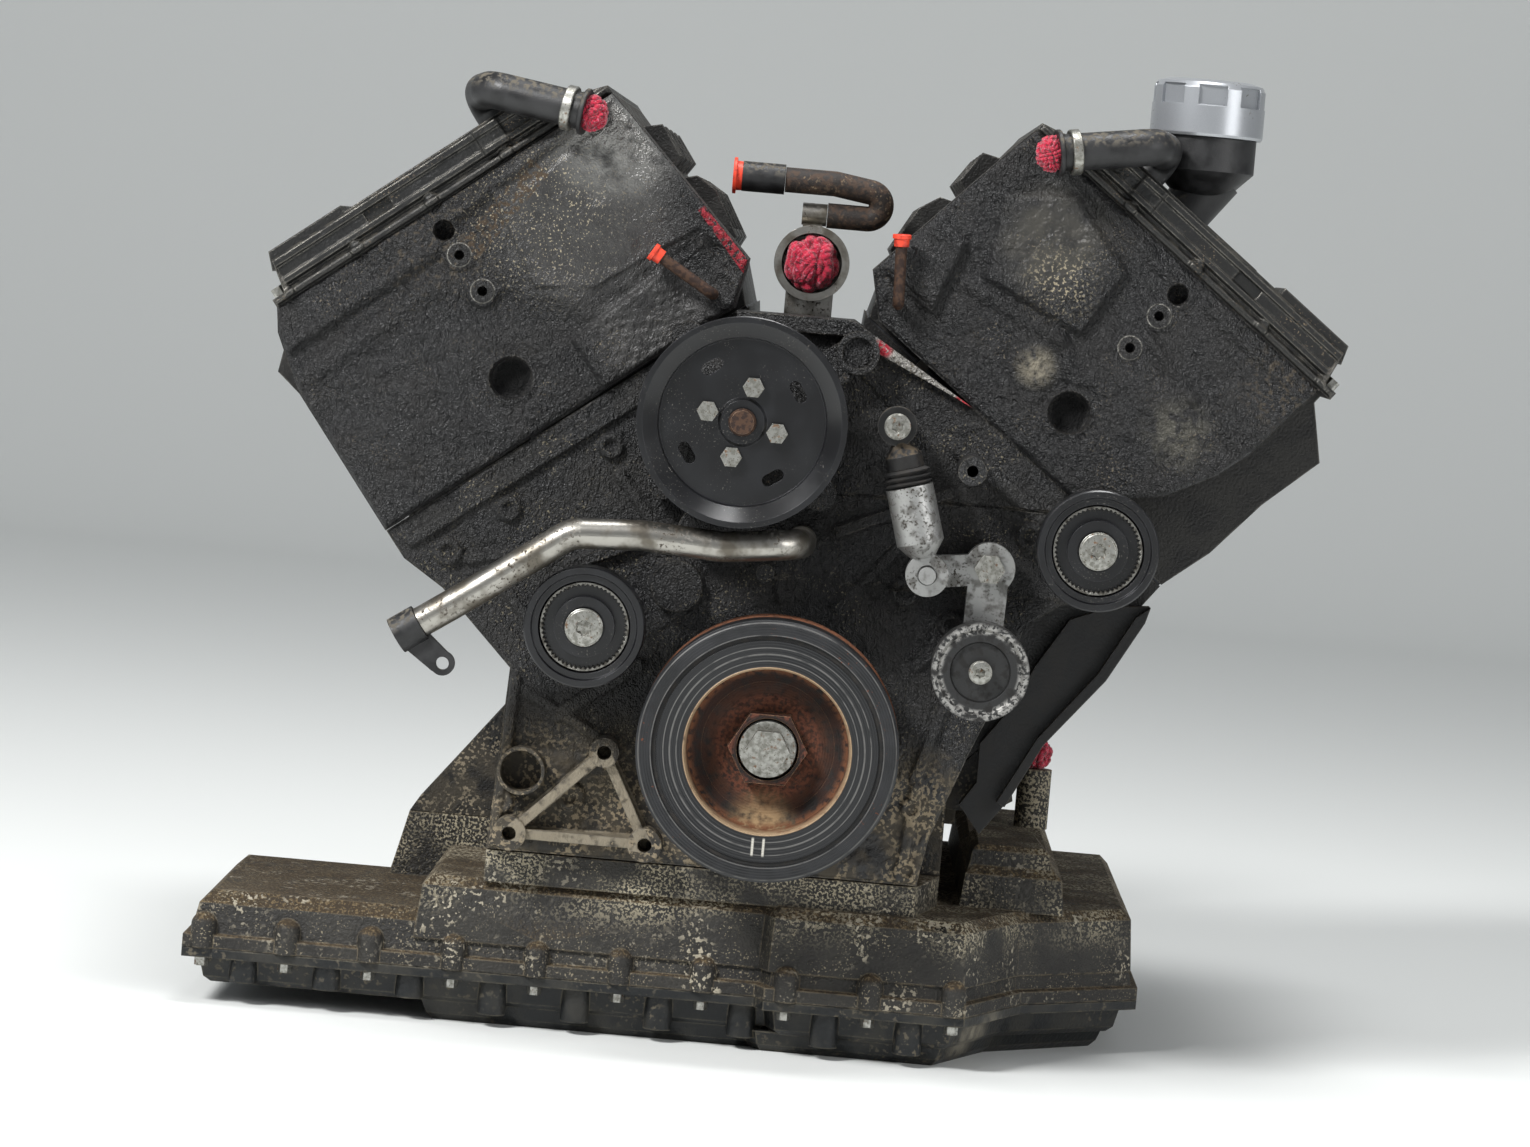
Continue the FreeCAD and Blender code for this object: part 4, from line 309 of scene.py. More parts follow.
def timing_cover_cast(side):
    """The same castings at the front: bare grey alloy where rubbed, tan specks where mud dried, and
    painted shade in the bolt holes of the bosses and in the plug hole.
    """
    f = Finish(f"timing_cover_alloy_{'left' if side == LEFT else 'right'}", look().grime, 0.33, 0.1, 1.5)
    f.coat(f.blotches(30, 0.4, 0.14), "1f1e1e", 0.44)
    if side == LEFT:
        bare = f.near(front_place(side, -88, 378), 34, 78)
        low = f.near(front_place(side, -88, 290), 26, 58)
        smooth = f.add("ShaderNodeMath", {0: bare, 1: f.both(low, 0.7)}, operation="MAXIMUM").outputs[0]
        f.coat((smooth, f.blotches(24, 0.8, 0.2)), "4d4c4b", 0.36, 0.7)
        bright = f.both(f.near(front_place(side, -136, 412), 10, 58), f.blotches(14, 0.72, 0.16))
        f.coat(bright, "8d8c89", 0.31, 0.85)
        specks = f.both(f.near(front_place(side, -60, 398), 20, 84), f.blotches(1.5, 0.14, 0.03, 1.0))
        smear = f.both(f.strip((-194, 386), (-240, 322), 9), f.blotches(3.4, 0.5, 0.05))
        f.coat(smear, "43372a", 0.85, 0.0)
        daub = f.both(f.strip((-78, 368), (-42, 326), 5), f.blotches(4, 0.62, 0.06))
        f.coat(daub, "8f1526", 0.6, 0.0)
        tan = f.both(f.near(front_place(side, 10, 424), 12, 60), f.blotches(4, 0.26, 0.08))
    else:
        smooth = f.near(front_place(side, -90, 392), 18, 50)
        f.coat((smooth, f.blotches(18, 0.6, 0.2)), "46443f", 0.5, 0.4)
        dish = f.both(f.near(front_place(side, -39, 319), 3, 19), f.blotches(6, 0.68, 0.16))
        f.coat(dish, "8b8474", 0.8, 0.0)
        specks = f.both(f.near(front_place(side, -67, 374), 8, 36), f.blotches(2.2, 0.28, 0.04, 3.0))
        f.coat((f.near(front_place(side, 66, 352), 6, 34), f.blotches(9, 0.6, 0.1)), "5a5851", 0.4, 0.6)
        tan = f.both(f.near(front_place(side, 96, 424), 8, 40), f.blotches(4, 0.3, 0.08))
    f.coat(tan, "4a4237", 0.8, 0.0)
    f.coat(specks, "998f79", 0.85, 0.0)
    stray = f.both(f.blotches(1.5, 0.1, 0.03, 1.0), f.blotches(38, 0.3, 0.08))
    f.coat(stray, "6a6254", 0.85, 0.0)
    for up in BOSS_UPS:
        f.coat(f.near(front_place(side, 0, up, CASE_FRONT + 6), 8.4, 9.2), "8e8c86", 0.5, 0.8)
        # Painted shade: near black over the mouth and upper wall of each boss's bolt hole
        f.coat(f.near(front_place(side, 0, up, CASE_FRONT + 6), 3.6, 4.2), "0b0a0a", 0.8, 0.0)
    # Painted shade: near black down in the plug hole, fading out towards its rim
    f.coat(f.near(front_place(side, PLUG_OUT[side], PLUG_UP, CASE_FRONT - 8), 9, 17), "040404", 0.9, 0.0)
    f.coat((f.worn_edges(0.03, 0.2), f.blotches(10, 0.4, 0.1)), "5d5a54", 0.4, 0.6)
    oil_skin(f, smooth)
    return f.done()


def cover_cast():
    """Die cast camshaft covers: dark grey, greasy, bare along their edges, dusty on top."""
    f = Finish("cover_cast_alloy", "272726", 0.42, 0.4, 1.6)
    f.coat(f.blotches(26, 0.5, 0.15), "181818", 0.46, 0.2)
    f.coat((f.upward(0.3, 0.9), f.blotches(9, 0.45, 0.1)), "3a3730", 0.75, 0.0)
    f.coat((f.worn_edges(0.005, 0.08), f.blotches(14, 0.75, 0.15)), "85827b", 0.35, 0.85)
    f.coat((f.blotches(1.6, 0.12, 0.03, 1.0), f.blotches(36, 0.35, 0.1)), look().dust, 0.85, 0.0)
    f.relief(f.cloud(1.8, 2.0, 0.3), 0.5)
    return f.done()


def head_cast():
    """Sand cast heads: rough dark grey alloy with oil in the hollows."""
    f = Finish("head_cast_alloy", "2b2a28", 0.52, 0.35, 1.5)
    f.coat(f.blotches(22, 0.5, 0.12), "171615", 0.42, 0.2)
    f.coat((f.upward(0.3, 0.9), f.blotches(8, 0.5, 0.1)), "443d32", 0.9, 0.0)
    f.coat((f.worn_edges(), f.blotches(10, 0.6, 0.1)), look().alloy, 0.4, 0.8)
    f.relief(f.cloud(1.6, 2.0), 0.6)
    return f.done()


def block_cast():
    """Sand cast block, blackened by oil and heat, with white corrosion towards its foot."""
    f = Finish("block_cast_alloy", "1d1c1b", 0.5, 0.25, 1.5)
    f.coat(f.blotches(30, 0.5, 0.12), "121212", 0.42, 0.1)
    f.coat((f.upward(0.3, 0.9), f.blotches(8, 0.6, 0.1)), "3f372c", 0.9, 0.0)
    f.coat((f.worn_edges(), f.blotches(10, 0.5, 0.1)), "6b6861", 0.45, 0.7)
    low = f.level(2, 0, -60)
    f.coat((low, f.blotches(18, 0.6, 0.12)), "3f3a31", 0.75, 0.1)
    salts = f.both(f.blotches(2.6, 0.34, 0.03, 2.0), f.blotches(30, 0.5, 0.1))
    f.coat((low, salts), "8f8470", 0.85, 0.0)
    f.relief(f.cloud(1.8, 2.0), 0.7)
    return f.done()


def sump_cast():
    """Cast sump: weathered grey-brown, thick road dirt on what faces up, white corrosion in clusters."""
    f = Finish("sump_cast_alloy", "302e2a", 0.58, 0.2, 1.8)
    f.coat(f.blotches(34, 0.5, 0.14), "211f1c", 0.6, 0.1)
    f.coat((f.upward(0.25, 0.75), f.blotches(30, 0.9, 0.2)), "3b3021", 0.95, 0.0)
    f.coat((f.upward(0.2, 0.7), f.blotches(2.2, 0.34, 0.06, 3.0)), "66573f", 0.95, 0.0)
    f.coat((f.upward(0.2, 0.7), f.both(f.blotches(7, 0.2, 0.03), f.blotches(40, 0.4, 0.08))), "15120f",
           0.9, 0.0)
    f.coat((f.worn_edges(0.004, 0.08), f.blotches(9, 0.6, 0.12)), "7d715c", 0.7, 0.2)
    clusters = f.both(f.blotches(3.6, 0.3, 0.02, 4.0), f.blotches(46, 0.34, 0.07))
    f.coat(clusters, look().salt, 0.85, 0.0)
    crust = f.both(f.level(2, -150, -119), f.blotches(60, 0.5, 0.1))
    f.coat((f.blotches(2.0, 0.42, 0.03, 2.0), crust), "a39a84", 0.9, 0.0)
    f.coat((f.blotches(1.5, 0.14, 0.02, 1.0), f.blotches(20, 0.5, 0.1)), "857c69", 0.85, 0.0)
    grit = {0: f.cloud(1.3, 2.0), 1: 0.5, 2: f.cloud(3.4, 3.0)}
    f.relief(f.add("ShaderNodeMath", grit, operation="MULTIPLY_ADD").outputs[0], 1.3)
    f.relief(clusters, 0.4, 0.8)
    return f.done()


def tray_cast():
    """Sump tray: dark, damp with oil, stained by water lines, one pale drip mark."""
    f = Finish("tray_cast_alloy", "1a1c1d", 0.4, 0.25, 1.8)
    f.coat(f.blotches(28, 0.45, 0.12), "2b2a26", 0.55, 0.1)
    f.coat((f.blotches(4, 0.24, 0.05, 3.0), f.blotches(60, 0.4, 0.1)), "5b5446", 0.8, 0.0)
    f.coat((f.near((168, -500, -206), 10, 34), f.blotches(9, 0.75, 0.2)), "807a6c", 0.7, 0.1)
    f.coat((f.worn_edges(0.004, 0.08), f.blotches(12, 0.6, 0.12)), "6b6556", 0.55, 0.3)
    f.relief(f.cloud(3.0, 2.0), 0.6)
    return f.done()


def machined_steel():
    """Ground and oiled steel of shafts, rods and bearing caps."""
    f = Finish("oiled_machined_steel", "8c8b88", 0.3, 1.0, 0.6)
    f.coat(f.blotches(20, 0.4, 0.15), "5d5852", 0.4)
    f.relief(f.cloud(0.8, 1.0, 0.0, (1.0, 0.1, 1.0)), 0.05)
    return f.done()


def piston_alloy():
    """Turned piston alloy with brown lacquer on the skirt."""
    f = Finish("turned_piston_alloy", "b5b1a8", 0.35, 1.0, 0.6)
    f.coat(f.blotches(18, 0.4, 0.2), "7d6448", 0.5, 0.6)
    return f.done()


def gasket_sheet():
    """Coated sheet steel of the head gaskets."""
    f = Finish("coated_gasket_sheet", "55565a", 0.5, 0.7, 0.3)
    f.coat(f.blotches(12, 0.4, 0.1), "2c2c2e", 0.6)
    return f.done()


def turning_marks(f, away):
    """The fine circles that turning leaves: a wave of the radius, 1.8 mm from crest to crest."""
    wave = f.add("ShaderNodeMath", {0: f.both(away, 3.4)}, operation="SINE").outputs[0]
    f.relief(wave, 0.1, 0.8)


def rusty_iron():
    """Grey iron hub of the damper: black paint outside, brown rust and tan dust inside its bowl."""
    f = Finish("rusty_grey_iron", "17110e", 0.7, 0.2, 0.9)
    away = f.away(0, 0)
    f.coat(f.blotches(9, 0.55, 0.1), "2c1810", 0.85, 0.1)
    round_boss = f.both(f.step(away, 22, 26), f.step(away, 40, 34))
    f.coat((f.blotches(3, 0.5, 0.08), round_boss), "5f3424", 0.85, 0.0)
    f.coat((f.near((0, -606, -50), 6, 30), f.blotches(6, 0.8, 0.2)), "9c8260", 0.95, 0.0)
    f.coat((f.step(away, 50, 56), f.blotches(5, 0.6, 0.1)), "70462c", 0.8, 0.2)
    f.coat((f.ring(0, 0, 57.2, 1.6), f.blotches(8, 0.85, 0.2)), "b39a7c", 0.5, 0.5)
    painted = f.both(f.step(away, 57.8, 58.6), f.level(1, -612, -618))
    f.coat(painted, "141517", 0.42, 0.0)
    for radius, width in ((67.0, 0.8), (71.5, 0.5), (62.5, 0.5)):
        rubbed = f.both(painted, f.blotches(9, 0.8, 0.2))
        f.coat((f.ring(0, 0, radius, width), rubbed), "5f5e5c", 0.5, 0.2)
    for first in (-4.5, 3.0):
        f.coat((painted, f.strip((first, -72), (first, -60), 1.2)), "b9b6ac", 0.6, 0.0)
    f.coat((f.level(1, -596, -590), f.blotches(5, 0.7, 0.12)), "6f452e", 0.85, 0.1)
    f.coat((f.worn_edges(0.02, 0.15), f.step(away, 58, 52)), "9b7a5c", 0.5, 0.5)
    bare = f.add("ShaderNodeMath", {0: 1.0, 1: painted}, operation="SUBTRACT").outputs[0]
    f.relief(f.both(f.cloud(1.6, 3.0), bare), 0.5)
    turning_marks(f, away)
    return f.done()


def damper_paint():
    """Satin black paint on the damper's ring, with the fine circles of its turning."""
    f = Finish("damper_black_paint", "111214", 0.4, 0.0, 0.8)
    f.coat(f.blotches(14, 0.5, 0.2), "1c1d20", 0.5)
    for radius, width in ((80.2, 0.5), (88.6, 0.6)):
        f.coat((f.ring(0, 0, radius, width), f.blotches(9, 0.8, 0.2)), "5a5957", 0.5, 0.2)
    f.coat((f.blotches(2, 0.1, 0.03), f.blotches(30, 0.3, 0.1)), look().rust, 0.9, 0.0)
    turning_marks(f, f.away(0, 0))
    return f.done()


def black_rubber():
    """Moulded black rubber, dull and dusty."""
    f = Finish("moulded_rubber", "151515", 0.7, 0.0, 0.6)
    f.coat(f.blotches(7, 0.4, 0.1), "2b2825", 0.85)
    f.relief(f.cloud(1.0, 2.0), 0.12)
    return f.done()


def hose_rubber():
    """Old coolant hose: brown-black rubber with a woven skin and dried dirt."""
    f = Finish("old_hose_rubber", "231c18", 0.65, 0.0, 0.6)
    f.coat(f.blotches(5, 0.45, 0.1), "45352a", 0.8)
    f.coat((f.blotches(2.4, 0.25, 0.04), f.blotches(22, 0.4, 0.1)), "7b6a55", 0.9)
    f.relief(f.cloud(1.4, 2.0), 0.35)
    return f.done()


def zinc_plate():
    """Zinc plated bolts: bright, clouded grey, a little rust in the corners."""
    f = Finish("zinc_plated_steel", "b4b3ad", 0.34, 1.0, 0.5)
    f.coat(f.blotches(3.4, 0.5, 0.16, 3.0), "84837c", 0.48)
    f.coat(f.blotches(1.3, 0.16, 0.05, 2.0), "5f5a50", 0.6, 0.6)
    f.coat(f.blotches(4, 0.14, 0.05), "6c5440", 0.8, 0.3)
    f.relief(f.cloud(0.9, 2.0), 0.08)
    return f.done()


def rusty_bolt():
    """Bolt and hub steel gone brown."""
    f = Finish("rusty_bolt_steel", "4f3a2d", 0.6, 0.5, 0.5)
    f.coat(f.blotches(3, 0.5, 0.08), "2b1b14", 0.75, 0.2)
    f.coat(f.worn_edges(0.02, 0.15), "a58b74", 0.4, 0.8)
    f.relief(f.cloud(1.2, 2.0), 0.2)
    return f.done()


def pulley_paint():
    """Satin black electrocoat of the pulleys, with a soft sheen and a thin film of dust."""
    f = Finish("pulley_electrocoat", "0b0b0d", 0.3, 0.0, 0.8)
    f.coat(f.blotches(24, 0.4, 0.2), "131417", 0.38)
    f.coat((f.blotches(1.2, 0.07, 0.02, 1.0), f.blotches(30, 0.4, 0.1)), "5b5853", 0.7)
    f.coat(f.worn_edges(0.03, 0.2), "35353a", 0.34, 0.4)
    return f.done(Coat_Weight=0.3, Coat_Roughness=0.2)


def worn_steel():
    """Steel of the belt roller: grey, polished by the belt, pitted at its rim."""
    f = Finish("belt_worn_steel", "3b3b3b", 0.42, 0.7, 0.6)
    f.coat((f.ring(*ROLLER, 30, 5), f.blotches(3, 0.55, 0.06)), "b0aeaa", 0.4, 0.9)
    f.coat(f.blotches(6, 0.35, 0.08), "242322", 0.6, 0.4)
    f.relief(f.cloud(1.0, 2.0), 0.1)
    return f.done()


def die_cast_alloy():
    """Die cast arm and strut: light grey alloy with grey oxide and dirt."""
    f = Finish("die_cast_light_alloy", "a5a5a3", 0.42, 0.85, 0.7)
    f.coat(f.blotches(8, 0.4, 0.1), "6f6e6b", 0.55, 0.6)
    f.coat((f.blotches(2, 0.3, 0.04), f.blotches(16, 0.4, 0.1)), "39342e", 0.8, 0.2)
    f.relief(f.cloud(0.9, 2.0), 0.12)
    return f.done()


def black_steel():
    """Black painted steel with dust."""
    f = Finish("black_painted_steel", "101011", 0.5, 0.2, 1.2)
    f.coat(f.blotches(16, 0.45, 0.12), "1c1b1a", 0.6)
    f.coat((f.upward(0.1, 0.7), f.blotches(4, 0.5, 0.08)), "54493a", 0.9, 0.0)
    f.coat(f.worn_edges(0.02, 0.15), "5a5752", 0.5, 0.5)
    f.relief(f.cloud(2.0, 2.0), 0.25)
    return f.done()


def drawn_tube():
    """Drawn alloy tube, dulled, with brown stains along its underside."""
    f = Finish("drawn_alloy_tube", "aaa7a0", 0.3, 1.0, 0.5)
    f.coat(f.blotches(18, 0.45, 0.12), "6a655c", 0.42, 0.9)
    f.coat((f.blotches(2.2, 0.3, 0.05), f.blotches(26, 0.45, 0.1)), "3d342a", 0.75, 0.2)
    f.relief(f.cloud(1.5, 2.0), 0.08)
    return f.done()


def moulded_plastic():
    """Moulded black nylon, satin, with grey dust."""
    f = Finish("moulded_black_nylon", "131314", 0.4, 0.0, 0.8)
    f.coat(f.blotches(12, 0.5, 0.15), "262627", 0.5)
    f.coat((f.upward(0.0, 0.7), f.blotches(4, 0.4, 0.08)), "5c564b", 0.85)
    f.relief(f.cloud(1.2, 2.0), 0.1)
    return f.done()


def silver_paint():
    """Silver painted moulding of the filler cap: fine flake, satin."""
    f = Finish("silver_painted_moulding", "a9acb0", 0.34, 0.65, 0.8)
    f.coat(f.cloud(0.5, 0.0), "b9bcc0", 0.3)
    f.coat((f.blotches(3, 0.12, 0.03), f.blotches(30, 0.3, 0.1)), "6f6c66", 0.7, 0.2)
    return f.done()


def plug_plastic():
    """Red polyethylene of the transit plugs, slightly waxy."""
    f = Finish("red_polyethylene", look().cap, 0.45, 0.0, 0.5)
    f.coat(f.blotches(5, 0.3, 0.1), "a82c1c", 0.6)
    return f.done()


def rag_cloth():
    """Red terry cloth of the rags: short dull loops, pale where they stand up, dark in the folds."""
    f = Finish("red_terry_cloth", look().rag, 0.9, 0.0, 0)
    f.coat(f.blotches(3.0, 0.4, 0.12, 3.0), "6a0a1c", 0.95)
    f.coat(f.blotches(1.5, 0.16, 0.05, 2.0), "d96a84", 0.9)
    f.relief(f.cloud(1.3, 3.0, 0.8), 1.4)
    return f.done(Sheen_Weight=0.4)


def toothed_alloy():
    """Bare alloy of the toothed ring inside an idler, catching the light."""
    f = Finish("toothed_bare_alloy", "8f8d87", 0.34, 0.9, 0.3)
    f.coat(f.blotches(4, 0.4, 0.1), "4e4b45", 0.55, 0.5)
    return f.done()


FINISHES = {
    oily_cast: ("timing_cover_left", "timing_cover_right", "water_pump_housing", "oil_pump"),
    case_cast: ("timing_case",),
    cover_cast: ("cam_cover_left", "cam_cover_right"),
    head_cast: ("head_left", "head_right"),
    block_cast: ("cylinder_block",),
    sump_cast: ("upper_oil_pan",),
    tray_cast: ("lower_oil_pan",),
    machined_steel: ("crankshaft", "con_rods", "bearing_caps", "camshaft_left_inner",
                     "camshaft_left_outer", "camshaft_right_inner", "camshaft_right_outer",
                     "crank_sprocket", "valley_sprocket", "timing_chain"),
    piston_alloy: tuple(f"piston_{number}" for number in range(1, 9)),
    gasket_sheet: ("head_gaskets",),
    rusty_iron: ("damper_hub",),
    damper_paint: ("damper_ring",),
    black_rubber: ("damper_rubber", "strut_boot", "front_seal"),
    hose_rubber: ("top_hose",),
    zinc_plate: ("crank_bolt", "belt_drive_bolts", "roller_bolt", "pump_pulley_bolts", "flange_bolts"),
    rusty_bolt: ("water_pump_shaft", "tube_stubs"),
    pulley_paint: ("water_pump_pulley", "idler_left", "idler_right"),
    worn_steel: ("tensioner_roller",),
    die_cast_alloy: ("tensioner_arm", "strut_cylinder"),
    black_steel: ("strut_rod", "side_bracket"),
    drawn_tube: ("coolant_pipe", "coolant_outlet"),
    moulded_plastic: ("hose_ends", "vent_elbows", "oil_filler_neck"),
    silver_paint: ("oil_filler_cap",),
}


def wear(piece, material):
    """Give every slot of a piece one material."""
    if not piece.material_slots:
        piece.data.materials.append(material)
    for slot in piece.material_slots:
        slot.material = material


def surface(name, grids, material, body, wrap=(False, False), flip=False, sharp=40.0,
            closed=False):
    """One mesh over grids of points, rows by columns by (x, y, z), joined to themselves where a
    direction wraps. Points that meet become one, and a closed form gets its faces turned outwards."""
    starts, corners, total = [], [], 0
    for points in grids:
        rows, columns = points.shape[:2]
        row = np.arange(rows if wrap[0] else rows - 1)
        column = np.arange(columns if wrap[1] else columns - 1)
        i, j = np.meshgrid(row, column, indexing="ij")
        k, m = (i + 1) % rows, (j + 1) % columns
        quads = np.stack([i * columns + j, k * columns + j, k * columns + m, i * columns + m], -1)
        corners.append(quads.reshape(-1, 4)[:, ::-1 if flip else 1] + total)
        starts.append(points.reshape(-1, 3) * MM)
        total += rows * columns
    places, quads = np.concatenate(starts).astype(np.float32), np.concatenate(corners).astype(np.int32)
    mesh = bpy.data.meshes.new(name)
    mesh.vertices.add(total)
    mesh.vertices.foreach_set("co", places.ravel())
    mesh.loops.add(quads.size)
    mesh.loops.foreach_set("vertex_index", quads.ravel())
    mesh.polygons.add(len(quads))
    mesh.polygons.foreach_set("loop_start", np.arange(0, quads.size, 4, dtype=np.int32))
    mesh.update(calc_edges=True)
    if closed:
        shell = bmesh.new()
        shell.from_mesh(mesh)
        bmesh.ops.remove_doubles(shell, verts=shell.verts, dist=1e-6)
        bmesh.ops.recalc_face_normals(shell, faces=shell.faces)
        shell.to_mesh(mesh)
        shell.free()
    mesh.validate()
    mesh.shade_smooth()
    mesh.set_sharp_from_angle(angle=math.radians(sharp))
    piece = bpy.data.objects.new(name, mesh)
    bpy.context.scene.collection.objects.link(piece)
    wear(piece, material)
    if body:
        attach(piece, body)
    return piece


def turned(profile, centre, axis, columns=64):
    """A profile turned about an axis. Each of its rows is (distance along the axis, radius), and the
    place is centre + axis * distance + radius * (cos * side + sin * other side)."""
    axis = Vector(axis).normalized()
    side = axis.orthogonal().normalized()
    other = axis.cross(side)
    angle = np.linspace(0, 2 * math.pi, columns, endpoint=False)
    around = np.cos(angle)[:, None] * np.array(side) + np.sin(angle)[:, None] * np.array(other)
    rows = np.array(profile, float)
    return (np.array(centre, float) + rows[:, None, :1] * np.array(axis)
            + rows[:, None, 1:] * around[None])


def lumps(across, along, size, seed):
    """Smooth random heights from -1 to 1: random values on a square lattice, blended by smoothstep."""
    lattice = np.random.default_rng(seed).random((128, 128))
    a, b = across / size, along / size
    i, j = np.floor(a).astype(int), np.floor(b).astype(int)
    fa, fb = a - i, b - j
    fa, fb = fa * fa * (3 - 2 * fa), fb * fb * (3 - 2 * fb)
    i, j = i % 128, j % 128
    k, m = (i + 1) % 128, (j + 1) % 128
    low = lattice[i, j] * (1 - fa) + lattice[k, j] * fa
    high = lattice[i, m] * (1 - fa) + lattice[k, m] * fa
    return 2 * (low * (1 - fb) + high * fb) - 1


def rise(value, low, high):
    """Smoothstep from 0 at low to 1 at high, with low above high turning it round."""
    t = np.clip((value - low) / (high - low), 0, 1)
    return t * t * (3 - 2 * t)


def inside(out, up, corners, low=0, high=6):
    """Smooth rise from low to high millimetres inside a convex outline: the least distance to a side."""
    centre = np.mean(corners, axis=0)
    least = np.full(out.shape, 1e9)
    for (a, b), (c, d) in zip(corners, corners[1:] + corners[:1]):
        normal = np.array([d - b, a - c]) / math.hypot(c - a, d - b)
        if normal @ (centre - (a, b)) < 0:
            normal = -normal
        least = np.minimum(least, (out - a) * normal[0] + (up - b) * normal[1])
    return rise(least, low, high)


def along_line(out, up, first, last, width):
    """1 on a straight ridge between two points, falling to 0 at its width."""
    run = np.array(last) - np.array(first)
    t = np.clip(((out - first[0]) * run[0] + (up - first[1]) * run[1]) / (run @ run), 0, 1)
    away = np.hypot(out - first[0] - t * run[0], up - first[1] - t * run[1])
    return rise(away, width, 0)


def spot(out, up, place, radius, soft=2.0):
    """1 within a circle and 0 outside it, over a soft edge."""
    return rise(np.hypot(out - place[0], up - place[1]), radius + soft, radius)


def folds(across, along, size, seed):
    """Ridged heights from 0 to 1, like thick oil: one less the size of smooth random heights."""
    return 1 - np.abs(lumps(across, along, size, seed))


LEFT_EDGE = ([DECK, 385, 426, COVER_JOINT], [148.5, 147.5, 137, 128])
RIGHT_EDGE = ([DECK, 313, 348, 374, 421, COVER_JOINT], [46, 89, 106, 113, 116, 118])
VALLEY_EDGE = ([DECK, 292, 421, COVER_JOINT], [-142, -169, -154, -151])
CASE_LEFT_EDGE = ([-94.5, 34, 86, 104.4, 122.7, 298], [-192, -186, -238, -266.7, -280.7, -49])
CASE_RIGHT_EDGE = ([-94.5, -60, 0, 40, 95, 112, 118, 149.6, 175.6, 177.2, 189.6, 243.8, 298],
                   [112, 118, 140, 156, 172, 196, 232, 255.7, 235.7, 196.5, 193.4, 122.8, 34.1])
COVER_LINE = ([-151, -137, -92, 113, 118, 128], [447, 451, COVER_TOP, COVER_TOP, 447, 447])
# Raised fields of the modelled covers, which the skins must clear: outline and height
LEFT_FIELDS = (([(-150, 437), (-44, 427), (-34, 356), (-68, 334), (-152, 330)], 9.6),
               ([(-40, 270), (-40, 306), (-118, 312), (-123, 270)], 5.6),
               ([(136, 419), (136, 411), (12, 411), (12, 419)], 3.6))
RIGHT_FIELDS = (([(-136, 392), (-100, 423), (-38, 406), (-34, 358), (-106, 342)], 6.6),
                ([(-160, 297), (-156, 350), (-134, 350), (-120, 299)], 7.6),
                ([(-14, 270), (-8, 380), (57, 372), (106, 370), (104, 346), (48, 270)], 3.6))
# Beads and creases of the covers: height, both ends and width
LEFT_BEADS = (
    (-3.4, (6, 366), (-36, 322), 22), (3.6, (134, 414), (12, 417), 8),
    (-2.6, (134, 404), (14, 405), 8), (3.4, (140, 388), (26, 394), 13),
    (3.6, (-6, 428), (-146, 438), 7), (-2.2, (-14, 418), (-140, 428), 7),
    (1.6, (120, 372), (36, 352), 9))
RIGHT_BEADS = (
    (3.6, (-112, 330), (-40, 344), 9), (3.6, (-40, 344), (-14, 330), 9),
    (3.4, (-2, 388), (57, 376), 6), (3.4, (57, 376), (108, 374), 6),
    (3.0, (-10, 428), (-146, 438), 7), (3.0, (20, 430), (112, 428), 6))


def left_relief(out, up):
    """Height over the left cover: a smooth swollen hump by the valley, a stepped foot, long folds."""
    height = 2.6 + 0 * out
    height += 7.5 * rise(out, 10, -70) * rise(up, 296, 356)
    height += 4.5 * rise(out, -64, -136) * rise(up, 346, 430)
    height += 5.6 * inside(out, up, [(-34, 262), (-33, 312), (-150, 322), (-160, 262)], -1, 4)
    height -= 5.5 * spot(out, up, (-138, 300), 12, 16)
    height += 2.8 * rise(up, 356, 338) * rise(out, -6, 16)
    height -= 2.2 * spot(out, up, (PLUG_OUT[LEFT], PLUG_UP), 17, 12)
    for stand, first, last, width in LEFT_BEADS:
        height += stand * along_line(out, up, first, last, width)
    return height


def right_relief(out, up):
    """Height over the right cover: a raised panel, a block by the valley and a long crease."""
    height = 2.6 + 0 * out
    panel = [(-140, 392), (-100, 428), (-34, 412), (-30, 354), (-108, 338)]
    field = [(-20, 266), (-12, 384), (57, 376), (112, 372), (112, 340), (50, 266)]
    height += 6.4 * inside(out, up, panel, -1, 6)
    height += 7.4 * inside(out, up, [(-166, 296), (-160, 352), (-132, 352), (-116, 298)], -1, 5)
    height += 3.6 * inside(out, up, field, -1, 6)
    height -= 3.4 * spot(out, up, (-26, 366), 8, 14)
    height += 2.0 * spot(out, up, (-39, 319), 9, 12)
    height -= 2.0 * spot(out, up, (PLUG_OUT[RIGHT], PLUG_UP), 17, 12)
    for stand, first, last, width in RIGHT_BEADS:
        height += stand * along_line(out, up, first, last, width)
    return height


def rolled(rim, radius):
    """Quarter circle that turns a rim down: 0 at the edge, 1 from this radius inwards."""
    return np.sqrt(1 - (1 - np.clip(rim / radius, 0, 1)) ** 2)


def oil_grain(out, up):
    """Relief of the baked-on oil, about 0 to 1: leathery folds across its run, and pimples."""
    stretch = out * 0.75 + up * 0.66
    across = (up * 0.75 - out * 0.66) * 1.7
    return 0.7 * folds(stretch, across, 5.2, 3) + 0.5 * folds(stretch, across, 2.7, 4) - 0.6


